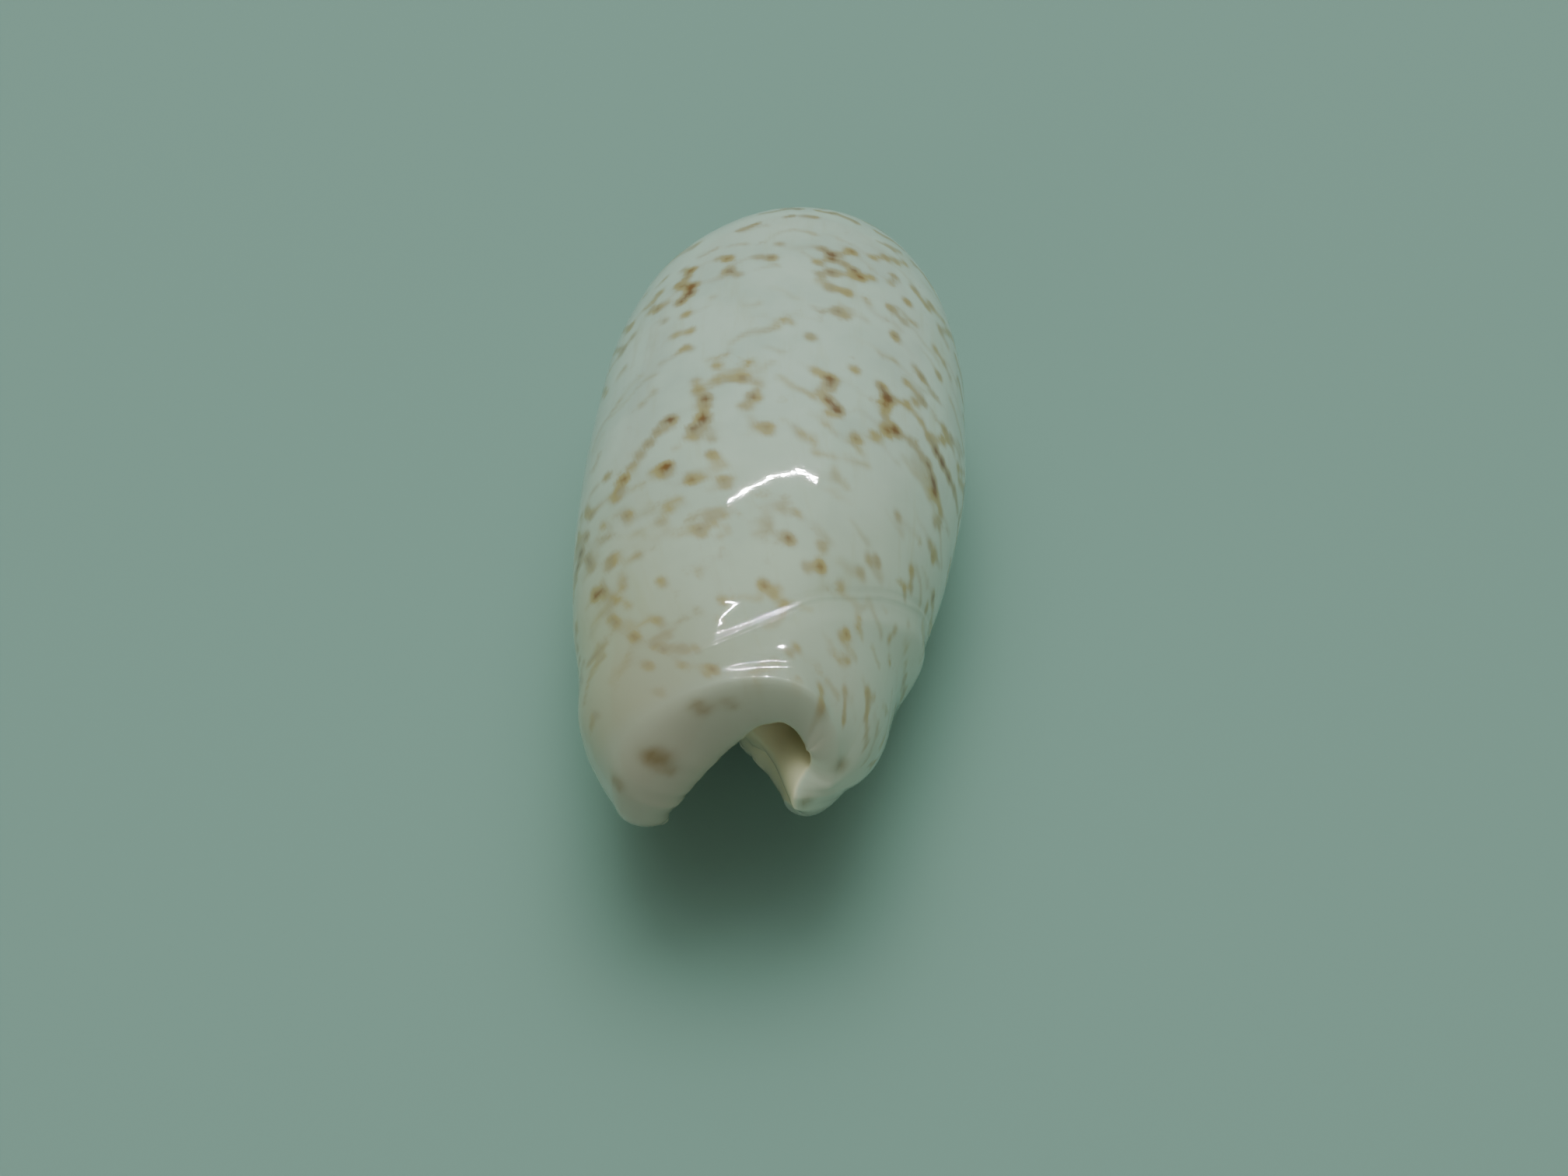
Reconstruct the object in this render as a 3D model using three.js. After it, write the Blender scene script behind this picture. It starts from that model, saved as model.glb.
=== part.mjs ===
// An olive shell: one glossy, subcylindrical sea shell, coiled to the right, lying with its
// opening downward. Millimetres. +Y runs from the front end (the notch) to the apex, +Z is up,
// the outer lip is on the -X side.
//
// The shell is one closed surface. Every cross-section of the last whorl is a thick letter C:
// an outside line from the edge of the lip round the back to the columella, and an inside line
// from the same lip edge into the cavity and back out along the columella. The section lines are
// laid along the axis, closed round the notch by a rim and at the back by the coiled spire.
import * as THREE from 'three';

// overall size
const LENGTH = 42;              // from the lip tips to the apex, along the coiling axis

// coiling
const WHORL_RATIO = 0.62;       // size of a whorl against the next younger one
const SUTURE_DROP = 5.9;        // apex to the place where the lip meets the suture, along the axis
const SUTURE_REACH = 8;         // how far the raised shoulder behind the suture is felt forward
const CHANNEL_DEPTH = 0.3;      // channel along the suture
const CHANNEL_WIDTH = 0.24;
const SPIRE_TURNS = 4;
const ATTACH_LENGTH = 1.3;      // length over which the lip is fused to the whorl before it
// shoulder profile of the youngest whorl: distance from the apex, radius
const SHOULDER_DROP = [5.9, 5.98, 6.3, 6.9, 7.7, 8.6, 9.8, 11.5, 13.5, 16, 20, 30];
const SHOULDER_RADIUS = [0, 4.75, 5.15, 5.7, 6.45, 7.3, 8.25, 9.2, 9.9, 10.3, 10.5, 10.5];

// body sections: height of the widest level, then half-sizes from it to the lip side, the
// far side, the back and the belly
const BODY_Y = [-3, 0, 2.5, 4.5, 7, 10, 15, 20, 25, 30, 34.5, 42];
const BODY_LIFT = [2.6, 2.2, 1.6, 0.9, 0.3, 0, 0, 0, 0, 0, 0, 0];
const BODY_LEFT = [3.9, 5, 6.35, 7.2, 7.65, 8.4, 9.06, 9.25, 9.15, 8.3, 6, 2];
const BODY_RIGHT = [2.4, 3.6, 4.9, 5.1, 5.4, 6.6, 7.9, 8.6, 8.63, 8, 6.2, 2];
const BODY_BACK = [1.9, 3.2, 4.75, 5.4, 6.15, 6.97, 7.54, 7.89, 7.83, 7.16, 5.8, 2];
const BODY_BELLY = [1.4, 2.6, 4, 4.8, 5.9, 6.7, 7.35, 7.72, 7.62, 6.85, 5.2, 2];
const LIP_BELLY = [2.4, 3.3, 4.5, 5.4, 6.3, 6.8, 7.35, 7.72, 7.62, 6.85, 5.2, 2];   // belly under the lip
const LIP_BELLY_WIDTH = 4;      // over which it passes into the belly proper
const LIP_CORNER = [3, 3, 3, 3, 3, 3, 3, 3.1, 3.1, 3, 2.6, 2];  // how square the corner there is
const BODY_BLEND = [6.6, 13];   // distance from the apex where the coil passes into the body

// pole of the section lines, in the body's own cross-section
const POLE_Y = [-2, 0, 2.5, 4.5, 7, 10, 15, 42];
const POLE_X = [3.0, 2.8, 2.2, 1.6, 1.05, 0.75, 0.6, 0.6];
const POLE_Z = [2.7, 2.4, 1.6, 0.7, -0.3, -0.95, -1.04, -1.04];

// lip, columella and cavity
const LIP_Y = [-1, 1, 3, 5, 9, 13, 20, 30, 35, 42];
const LIP_ANGLE = [200, 206, 209.5, 210, 212, 218, 225, 227, 227, 227]; // degrees round the pole
const INNER_LIP_Y = [-1, 1, 3, 6, 10, 16, 24, 34.6, 42];
const INNER_LIP_TURN = [325, 325, 330, 334, 342, 350, 357, 360, 360]; // lip edge to inner lip
const CORE_Y = [-1, 1, 3, 4.5, 6, 8, 10, 13, 16, 20, 25, 30, 34.6, 42];
const CORE_RADIUS = [0.8, 1.2, 1.35, 1.6, 2.4, 3.35, 4.15, 4.75, 5.25, 5.65, 5.75, 5.55, 4.7, 4];
const CORE_FADE = [286, 352];   // degrees from the lip over which the belly passes into the core
const CAVITY_Y = [-1, 1, 1.5, 2, 3, 4.5, 6, 10, 15, 42];
const CAVITY_TURN = [80, 89, 99, 112, 134, 155, 165, 182, 200, 200]; // depth of the cavity, degrees
const WALL_Y = [6, 8, 13, 42];
const WALL = [1.6, 1.5, 1.35, 1.3];          // wall along the axis
const RIM_WALL_TURN = [0, 6, 11, 16, 21, 28, 36, 44, 52, 60, 68, 76, 84, 92, 100, 112, 125];
const RIM_WALL = [1.1, 1.73, 2.15, 2.58, 3, 3.57, 3.87, 3.93, 3.83, 3.53, 3.11, 2.65, 2.3, 2.14, 1.95, 2.5,
  2.8];                         // wall at the rim, by degrees from the lip
const RIM_WALL_REACH = [2.4, 6.5];           // it thins to the plain wall over this stretch
const LIP_ROUND = 1.25;         // how far the lip edge is rounded, in half walls
const END_ROUND = 0.25;         // how far the cavity's end is rounded, in half gaps
const GAP_OPENS = 2.2;          // length over which the opening starts at its back end

// folds on the columella
const FOLD_FIRST = 5.2;
const FOLD_PITCH = 1.62;
const FOLD_COUNT = 6;
const FOLD_HEIGHT = 0.22;
const FOLD_SPAN = [318, 336, 396, 430]; // degrees from the lip where they rise and die out

// band round the front end
const BAND_TURN = [60, 101, 117, 133, 147, 160, 172, 190, 240, 290, 345];   // degrees from the lip
const BAND_Y = [3.4, 5.2, 6.1, 7.35, 8.1, 8.9, 9.5, 10.3, 11.4, 12.5, 13.6]; // where its border line runs
const BAND_SWELL = 0.22;
const BAND_RISE = [0.1, 1.2];   // distance ahead of the line over which it swells
const BAND_FALL = [3, 8];       // and over which it dies out again
const BAND_ENDS = [60, 130, 300, 345]; // degrees from the lip where it fades in and out

// front margin, outside line: share of the way from the lip edge to the inner lip, and place
const RIM_OUTSIDE_SHARE = [0, 0.02, 0.05, 0.098, 0.151, 0.215, 0.278, 0.331, 0.374, 0.427, 0.491, 0.576,
  0.682, 0.788, 0.894, 1];
const RIM_OUTSIDE_Y = [2.25, 1.4, 0.9, 1.2, 1.9, 2.6, 3, 3.1, 2.9, 2.3, 1.7, 1.3, 1.5, 2.3, 2.5, 2.1];
// inside line: 0 to 1 along the outer wall, 1 to 2 round the end of the cavity, 2 to 3 along the core
const RIM_INSIDE_STAGE = [0, 0.03, 0.06, 0.1, 0.215, 0.26, 0.38, 0.47, 0.55, 0.655, 0.75, 0.85, 0.95, 1, 2,
  2.05, 2.22, 2.4, 2.62, 2.8, 3];
const RIM_INSIDE_Y = [2.25, 1.6, 1.25, 1.1, 1.15, 1.45, 1.9, 2.3, 2.4, 2.4, 2.5, 2.5, 2.2, 1.95, 1.6,
  1.3, 0.8, 0.5, 0.45, 1, 2.1];
// how the wall rounds over between both lines, by share of the way
const RIM_PULL_AT = [0, 0.12, 0.2, 0.3, 0.37, 0.42, 0.5, 0.58, 0.66, 0.8, 1];
const RIM_OUTSIDE_PULL = [0.5, 0.5, 0.4, 0.2, 0.13, 0.16, 0.3, 0.3, 0.3, 0.3, 0.3];
const RIM_INSIDE_PULL = [0.5, 0.5, 0.4, 0.28, 0.22, 0.25, 0.26, 0.18, 0.1, 0.1, 0.2];
const RIM_FORWARD = [1, 0.8, 0.6, 1.2, 1.5, 1.2, 0.6, 0.4, 0.4, 0.4, 0.6];
// how far the outside bends in towards the margin, and over what length
const ROUND_SHARE = [0, 0.03, 0.1, 0.2, 0.28, 0.36, 0.42, 0.5, 0.6, 0.8, 1];
const ROUND_DEPTH = [0, 0.1, 0.2, 0.2, 0, 0, 0.7, 1.2, 1.2, 0.9, 0];
const ROUND_REACH = 3.5;
const FRONT_START = 9;          // section lines behind this are level, in front they follow the rim

// how finely the surface is divided
const COLUMNS = 52;             // steps along the outside line, and along the inside line
const LIP_STEPS = 3;            // of them, on each half of the lip's round edge
const END_STEPS = 3;            // of them, on each half of the round end of the cavity
const SHOULDER_STEPS = [0, 0.07, 0.2, 0.5, 0.9, 1];
const BODY_ROWS = [36.1, 35.4, 34.8, 34.0, 33.0, 31.6, 30, 28, 26, 23.5, 21, 18.5, 16.5, 14.92,
  14.11, 13.3, 12.49, 11.68, 10.87, 10.06, 9.25];
const ATTACH_ROWS = 2;          // of them, where the lip is still fused
const FRONT_ROWS = 9;
const RIM_STEPS = 4;

// how it lies
const REST_PITCH = -0.4;
const REST_ROLL = 0;

const RAD = Math.PI / 180;

/** Smooth curve through a table of numbers. */
function curve(xs, ys, x) {
  const last = xs.length - 1;
  if (x <= xs[0]) return ys[0];
  if (x >= xs[last]) return ys[last];
  let k = 0;
  while (x > xs[k + 1]) k++;
  const slope = (j) => {
    if (j <= 0 || j >= last) return 0.5 * (ys[Math.min(last, j + 1)] - ys[Math.max(0, j - 1)])
      / (xs[Math.min(last, j + 1)] - xs[Math.max(0, j - 1)]);
    const before = (ys[j] - ys[j - 1]) / (xs[j] - xs[j - 1]);
    const after = (ys[j + 1] - ys[j]) / (xs[j + 1] - xs[j]);
    if (before * after <= 0) return 0;
    return 2 * before * after / (before + after);
  };
  const h = xs[k + 1] - xs[k];
  const t = (x - xs[k]) / h;
  const a = slope(k) * h;
  const b = slope(k + 1) * h;
  return ys[k] + t * (a + t * (3 * (ys[k + 1] - ys[k]) - 2 * a - b
    + t * (a + b - 2 * (ys[k + 1] - ys[k]))));
}

/** 0 below lo, 1 above hi, eased between. */
function ease(lo, hi, x) {
  const t = Math.min(1, Math.max(0, (x - lo) / (hi - lo)));
  return t * t * (3 - 2 * t);
}

const bell = (x) => Math.exp(-x * x);
const scaleAt = (turn) => WHORL_RATIO ** (turn / 360);

/** Distance from the pole to the body's outline, in a direction given in degrees. */
function bodyRadius(y, angle) {
  const px = curve(POLE_Y, POLE_X, y);
  const pz = curve(POLE_Y, POLE_Z, y) - curve(BODY_Y, BODY_LIFT, y);
  const dx = Math.cos(angle * RAD);
  const dz = Math.sin(angle * RAD);
  const left = curve(BODY_Y, BODY_LEFT, y);
  const right = curve(BODY_Y, BODY_RIGHT, y);
  const back = curve(BODY_Y, BODY_BACK, y);
  const belly = curve(BODY_Y, BODY_BELLY, y);
  const lipBelly = curve(BODY_Y, LIP_BELLY, y);
  const corner = curve(BODY_Y, LIP_CORNER, y);
  let inner = 0;
  let outer = 2 * (left + right);
  for (let k = 0; k < 34; k++) {
    const r = (inner + outer) / 2;
    const x = px + r * dx;
    const z = pz + r * dz;
    const underLip = z < 0 ? ease(0, LIP_BELLY_WIDTH, -x) : 0;
    const n = 2 + (corner - 2) * underLip;
    const depth = z < 0 ? belly + (lipBelly - belly) * underLip : back;
    const level = Math.abs(x / (x < 0 ? left : right)) ** n + Math.abs(z / depth) ** n;
    if (level < 1) inner = r;
    else outer = r;
  }
  return outer;
}

/** Radius of the coil at a distance from the apex, before the channel is cut. */
function coilRadius(turn, drop) {
  const s = scaleAt(turn);
  const lifted = drop * (1 + (1 / s - 1) * Math.exp(-(drop - SUTURE_DROP * s) / SUTURE_REACH));
  if (lifted <= SUTURE_DROP + 1e-9) return s * SUTURE_RADIUS;
  return s * curve(SHOULDER_DROP, SHOULDER, lifted);
}

// the radius at the suture follows from the whorl before, on which it lies
const BEHIND_SUTURE = SUTURE_DROP * (1 + (1 / WHORL_RATIO - 1)
  * Math.exp(-SUTURE_DROP * (1 - WHORL_RATIO) / SUTURE_REACH));
const SUTURE_RADIUS = WHORL_RATIO * curve(SHOULDER_DROP, SHOULDER_RADIUS, BEHIND_SUTURE);
const SHOULDER = [SUTURE_RADIUS, ...SHOULDER_RADIUS.slice(1)];

const inBody = (y) => ease(BODY_BLEND[0], BODY_BLEND[1], LENGTH - y);
const lipAngle = (y) => curve(LIP_Y, LIP_ANGLE, y);
const innerLipTurn = (y) => curve(INNER_LIP_Y, INNER_LIP_TURN, y);
const cavityTurn = (y) => curve(CAVITY_Y, CAVITY_TURN, y);

/** Small relief of the columella's folds, by degrees from the lip and place along the axis. */
function folds(turn, y) {
  const window = ease(FOLD_SPAN[0], FOLD_SPAN[1], turn) * (1 - ease(FOLD_SPAN[2], FOLD_SPAN[3], turn));
  const k = (y - FOLD_FIRST) / FOLD_PITCH;
  if (window === 0 || k < -0.5 || k > FOLD_COUNT - 0.5) return 0;
  return FOLD_HEIGHT * window * 0.5 * (1 + Math.cos(2 * Math.PI * k));
}

/** Swelling of the band round the front end. */
function band(turn, y) {
  const ahead = curve(BAND_TURN, BAND_Y, turn) - y;
  const fade = ease(BAND_ENDS[0], BAND_ENDS[1], turn) * (1 - ease(BAND_ENDS[2], BAND_ENDS[3], turn));
  return fade * BAND_SWELL * ease(...BAND_RISE, ahead) * (1 - ease(...BAND_FALL, ahead));
}

/** How far the outside bends in near the front margin. */
function roundOver(turn, y) {
  const share = turn / INNER_LIP_TURN[0];
  const behind = Math.min(1, Math.max(0, (y - curve(RIM_OUTSIDE_SHARE, RIM_OUTSIDE_Y, share)) / ROUND_REACH));
  return curve(ROUND_SHARE, ROUND_DEPTH, share) * (1 - behind) ** 2;
}

/** Outside line: distance from the pole, by degrees from the lip edge; past a full turn it is the core. */
function outsideRadius(turn, y) {
  const drop = LENGTH - y;
  const mix = inBody(y);
  const coil = coilRadius(turn, drop);
  let r = coil;
  if (mix > 0) {
    const core = curve(CORE_Y, CORE_RADIUS, y) * scaleAt(turn - 360);
    const toCore = ease(CORE_FADE[0], CORE_FADE[1], turn);
    const body = toCore < 1 ? bodyRadius(y, lipAngle(y) - turn) * (1 - toCore) + core * toCore : core;
    r = coil * (1 - mix) + body * mix + mix * band(turn, y);
  }
  const s = scaleAt(turn);
  r -= CHANNEL_DEPTH * s * bell((drop - SUTURE_DROP * s) / (CHANNEL_WIDTH * s));
  if (turn > 300) {
    r -= CHANNEL_DEPTH * ease(320, 360, turn) * bell((drop - SUTURE_DROP) / CHANNEL_WIDTH);
  }
  return r + folds(turn, y) - (turn < INNER_LIP_TURN[0] ? roundOver(turn, y) : 0);
}

/** Wall thickness, by degrees from the lip edge. */
function wall(turn, y) {
  const plain = curve(WALL_Y, WALL, y);
  return plain + (curve(RIM_WALL_TURN, RIM_WALL, turn) - plain) * (1 - ease(...RIM_WALL_REACH, y));
}

/** Inside line on the outer wall's side. */
function insideRadius(turn, y) {
  const core = outsideRadius(turn + 360, y);
  const open = ease(0, GAP_OPENS, LENGTH - SUTURE_DROP - ATTACH_LENGTH - y);
  return core + open * Math.max(0.05, outsideRadius(turn, y) - wall(turn, y) - core);
}

/** A point given round the pole. */
function place(angle, radius, y) {
  return new THREE.Vector3(curve(POLE_Y, POLE_X, y) + radius * Math.cos(angle * RAD), y,
    curve(POLE_Y, POLE_Z, y) + radius * Math.sin(angle * RAD));
}

/** Halfway between both faces of the lip, and its half thickness. */
function lipEdge(y) {
  const outer = outsideRadius(0, y);
  const inner = insideRadius(0, y);
  return { middle: (outer + inner) / 2, half: (outer - inner) / 2 };
}

/** How far round a column of the outside line is, from the lip (0) to the inner lip (1). */
const share = (i) => Math.max(0, i - LIP_STEPS) / (COLUMNS - LIP_STEPS);

/** Stage of the inside line for a column. */
function insideStage(i) {
  const half = COLUMNS / 2;
  if (i < half - END_STEPS) return Math.max(0, i - LIP_STEPS) / (half - END_STEPS - LIP_STEPS);
  if (i < half + END_STEPS) return 1 + (i - half + END_STEPS) / (2 * END_STEPS);
  return 2 + (i - half - END_STEPS) / (half - END_STEPS);
}

/** Outside line, column by column. */
function outsidePoint(i, y) {
  const angle = lipAngle(y);
  if (i < LIP_STEPS) {
    const { middle, half } = lipEdge(y);
    const t = i / LIP_STEPS * 90 * RAD;
    return place(angle + LIP_ROUND * half * Math.cos(t) / middle / RAD, middle + half * Math.sin(t), y);
  }
  const turn = share(i) * innerLipTurn(y);
  return place(angle - turn, outsideRadius(turn, y), y);
}

/** Inside line, column by column: lip edge, outer wall, end of the cavity, core, inner lip. */
function insidePoint(i, y) {
  const angle = lipAngle(y);
  const end = cavityTurn(y);
  const half = COLUMNS / 2;
  if (i < LIP_STEPS) {
    const edge = lipEdge(y);
    const t = i / LIP_STEPS * 90 * RAD;
    return place(angle + LIP_ROUND * edge.half * Math.cos(t) / edge.middle / RAD,
      edge.middle - edge.half * Math.sin(t), y);
  }
  const away = Math.abs(i - half);
  if (away < END_STEPS) {
    const outer = insideRadius(end, y);
    const inner = outsideRadius(end + 360, y);
    const t = Math.sign(half - i) * (away / END_STEPS) * 90 * RAD;
    const gap = (outer - inner) / 2;
    const turned = END_ROUND * gap * Math.cos(t) / inner / RAD;
    return place(angle - end - turned, (outer + inner) / 2 + gap * Math.sin(t), y);
  }
  if (i < half) {
    const turn = (i - LIP_STEPS) / (half - END_STEPS - LIP_STEPS) * end;
    return place(angle - turn, insideRadius(turn, y), y);
  }
  const first = innerLipTurn(y) - 360;
  const turn = end + (i - half - END_STEPS) / (half - END_STEPS) * (first - end);
  return place(angle - turn, outsideRadius(turn + 360, y), y);
}

/** Surface collector that joins equal points. */
class Skin {
  constructor() {
    this.points = [];
    this.faces = [];
    this.cells = new Map();
  }

  point(p) {
    const c = [p.x, p.y, p.z].map((v) => Math.round(v * 2e3));
    for (let dx = -1; dx <= 1; dx++) {
      for (let dy = -1; dy <= 1; dy++) {
        for (let dz = -1; dz <= 1; dz++) {
          for (const id of this.cells.get(`${c[0] + dx},${c[1] + dy},${c[2] + dz}`) ?? []) {
            if (this.points[id].distanceTo(p) < 2e-4) return id;
          }
        }
      }
    }
    const key = c.join(',');
    if (!this.cells.has(key)) this.cells.set(key, []);
    this.cells.get(key).push(this.points.length);
    this.points.push(p);
    return this.points.length - 1;
  }

  triangle(a, b, c) {
    if (a !== b && b !== c && c !== a) this.faces.push(a, b, c);
  }

  quad(a, b, c, d) {
    const p = this.points;
    if (p[a].distanceTo(p[c]) <= p[b].distanceTo(p[d])) {
      this.triangle(a, b, c);
      this.triangle(a, c, d);
    } else {
      this.triangle(a, b, d);
      this.triangle(b, c, d);
    }
  }

  /** Fills the strip between two rows of points. */
  strip(one, two) {
    for (let i = 0; i + 1 < one.length; i++) this.quad(one[i], two[i], two[i + 1], one[i + 1]);
  }
}

function buildShell() {
  const skin = new Skin();
  const row = (f) => Array.from({ length: COLUMNS + 1 }, (_, i) => skin.point(f(i)));
  const shoulder = SHOULDER_STEPS.length - 1;
  const turnOf = (i) => share(i) * 360;

  // spire: rows follow the suture, every turn repeats the one before at its own scale
  const bandRadius = (scaled) => coilRadius(360, scaled * WHORL_RATIO) / WHORL_RATIO
    - CHANNEL_DEPTH * (bell((scaled - SUTURE_DROP) / CHANNEL_WIDTH)
    + bell((scaled * WHORL_RATIO - SUTURE_DROP) / CHANNEL_WIDTH) / WHORL_RATIO);
  const spirePoint = (k, turn) => {
    const whorl = Math.floor(k / shoulder);
    const part = SHOULDER_STEPS[shoulder - (k - whorl * shoulder)];
    const atLip = SUTURE_DROP * WHORL_RATIO ** whorl * (WHORL_RATIO + (1 - WHORL_RATIO) * part);
    const drop = atLip * scaleAt(turn);
    const s = scaleAt(turn + 360 * (whorl + 1));
    return place(lipAngle(LENGTH - drop) - turn, s * bandRadius(drop / s), LENGTH - drop);
  };
  let above = null;
  const spireRows = shoulder * SPIRE_TURNS;
  let top = null;
  for (let k = spireRows; k >= 0; k--) {
    const line = row((i) => spirePoint(k, turnOf(i)));
    if (above) skin.strip(above, line);
    else top = line;
    above = line;
  }
  const apex = skin.point(place(0, 0, LENGTH - 0.12));
  const rim = [...top];
  for (let k = spireRows - 1; k > spireRows - shoulder; k--) rim.push(skin.point(spirePoint(k, 360)));
  for (let i = 0; i < rim.length; i++) skin.triangle(apex, rim[i], rim[(i + 1) % rim.length]);

  // last whorl between the suture and the level where the lip meets it
  for (let m = 1; m <= shoulder; m++) {
    const part = SHOULDER_STEPS[m];
    const line = row((i) => {
      const turn = turnOf(i);
      const low = SUTURE_DROP * scaleAt(turn);
      const y = LENGTH - (low + (SUTURE_DROP - low) * part);
      return place(lipAngle(y) - turn, outsideRadius(turn, y), y);
    });
    skin.strip(above, line);
    above = line;
  }

  // the lip still fused to the whorl before: its edge climbs from that whorl to its own face
  for (let m = 1; m <= ATTACH_ROWS; m++) {
    const y = BODY_ROWS[m];
    const foot = outsideRadius(360, y);
    const line = row((i) => {
      if (i >= LIP_STEPS) return outsidePoint(i, y);
      const t = i / LIP_STEPS;
      return place(lipAngle(y), foot + (outsideRadius(0, y) - foot) * Math.sin(t * 90 * RAD), y);
    });
    skin.strip(above, line);
    above = line;
  }

  // free lip: closed sections, first level ones and then ones that bend with the front margin
  const attachY = BODY_ROWS[ATTACH_ROWS];
  const seam = Array.from({ length: COLUMNS + 1 },
    (_, i) => skin.point(insidePoint(Math.max(i, COLUMNS - i), attachY)));
  let inside = seam;
  const stations = BODY_ROWS.slice(ATTACH_ROWS + 1).map((y) => ({ level: y, front: 0 }));
  for (let m = 1; m <= FRONT_ROWS; m++) stations.push({ level: FRONT_START, front: m / FRONT_ROWS });
  for (const { level, front } of stations) {
    const outY = (i) => level + (curve(RIM_OUTSIDE_SHARE, RIM_OUTSIDE_Y, share(i)) - level) * front;
    const inY = (i) => level + (curve(RIM_INSIDE_STAGE, RIM_INSIDE_Y, insideStage(i)) - level) * front;
    const outer = row((i) => outsidePoint(i, outY(i)));
    const inner = row((i) => insidePoint(i, inY(i)));
    inner[0] = outer[0];
    inner[COLUMNS] = outer[COLUMNS];
    skin.strip(above, outer);
    skin.strip(inner, inside);
    if (front === 1) closeRim(skin, above, outer, inside, inner);
    above = outer;
    inside = inner;
  }
  return skin;
}

/** Rounds the wall over, from the outside line to the inside line, all along the front margin. */
function closeRim(skin, outerBefore, outer, innerBefore, inner) {
  const arc = (i) => {
    const a = skin.points[outer[i]];
    const d = skin.points[inner[i]];
    const width = a.distanceTo(d);
    const forward = new THREE.Vector3(0, -curve(RIM_PULL_AT, RIM_FORWARD, i / COLUMNS), 0);
    const ta = a.clone().sub(skin.points[outerBefore[i]]).normalize().add(forward).normalize();
    const td = d.clone().sub(skin.points[innerBefore[i]]).normalize().add(forward).normalize();
    const b = a.clone().addScaledVector(ta, width * curve(RIM_PULL_AT, RIM_OUTSIDE_PULL, i / COLUMNS));
    const c = d.clone().addScaledVector(td, width * curve(RIM_PULL_AT, RIM_INSIDE_PULL, i / COLUMNS));
    return new THREE.CubicBezierCurve3(a, b, c, d);
  };
  const arcs = outer.map((_, i) => (i > 0 && i < COLUMNS ? arc(i) : null));
  let line = outer;
  for (let k = 1; k <= RIM_STEPS; k++) {
    const next = outer.map((id, i) => {
      if (!arcs[i]) return id;
      return k === RIM_STEPS ? inner[i] : skin.point(arcs[i].getPoint(k / RIM_STEPS));
    });
    skin.strip(line, next);
    line = next;
  }
}

function toMesh(skin) {
  const geometry = new THREE.BufferGeometry();
  const flat = new Float32Array(skin.points.flatMap((p) => [p.x, p.y, p.z]));
  geometry.setAttribute('position', new THREE.BufferAttribute(flat, 3));
  geometry.setIndex(skin.faces);
  geometry.computeVertexNormals();
  const porcelain = new THREE.MeshStandardMaterial({ color: 0xd9d6c8, roughness: 0.22, metalness: 0 });
  const mesh = new THREE.Mesh(geometry, porcelain);
  mesh.name = 'shell';
  return mesh;
}

const shell = toMesh(buildShell());
const rest = new THREE.Group();
rest.name = 'rest_pose';
rest.rotation.set(REST_PITCH * RAD, REST_ROLL * RAD, 0, 'XYZ');
rest.add(shell);

const object = new THREE.Group();
object.name = 'olive_shell';
object.add(rest);
object.updateMatrixWorld(true);
const box = new THREE.Box3().setFromObject(rest, true);
rest.position.set(-(box.min.x + box.max.x) / 2, -(box.min.y + box.max.y) / 2, -box.min.z);
object.updateMatrixWorld(true);

export default object;
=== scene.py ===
"""An olive shell: one glossy, right-coiled sea shell lying with its opening downward.

Lengths in the tables of the shell's form are millimetres, in the shell's own frame: y runs along
the coiling axis from the front end (0) to the apex (42), z is up through the back, and the outer
lip is on the -x side. Blender objects are in metres. Places on the surface are given by their turn,
the degrees wound back from the edge of the lip, and by y.
"""

import logging
import math
from dataclasses import dataclass, field
from enum import Enum

import bmesh
import bpy
import numpy as np
from mathutils import Matrix, Vector


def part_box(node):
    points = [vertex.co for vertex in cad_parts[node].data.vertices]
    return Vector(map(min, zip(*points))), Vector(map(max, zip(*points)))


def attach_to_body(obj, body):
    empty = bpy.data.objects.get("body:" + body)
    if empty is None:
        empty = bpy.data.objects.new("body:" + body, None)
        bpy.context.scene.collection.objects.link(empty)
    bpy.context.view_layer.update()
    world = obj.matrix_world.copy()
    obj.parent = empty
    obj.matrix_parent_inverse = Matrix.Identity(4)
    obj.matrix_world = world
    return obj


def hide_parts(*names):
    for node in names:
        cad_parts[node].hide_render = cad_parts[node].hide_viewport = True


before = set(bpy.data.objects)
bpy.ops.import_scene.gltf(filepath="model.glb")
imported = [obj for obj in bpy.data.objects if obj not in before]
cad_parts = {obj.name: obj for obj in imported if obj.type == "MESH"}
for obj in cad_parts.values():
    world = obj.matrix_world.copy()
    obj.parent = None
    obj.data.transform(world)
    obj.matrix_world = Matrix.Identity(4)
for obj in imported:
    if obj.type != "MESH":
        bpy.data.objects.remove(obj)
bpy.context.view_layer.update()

log = logging.getLogger("olive_shell")

Array = np.ndarray
Numbers = np.ndarray | float
Table = tuple[float, ...]
Range = tuple[float, float]
Span = tuple[float, float, float, float]
Place = tuple[float, float, float]
Socket = bpy.types.NodeSocket

MM = 0.001
FULL_TURN = 360
GROWTH = "growth"
PHOTO_WIDTH = 2016
SENSOR_WIDTH = 36.0


# Curves and easing

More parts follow.
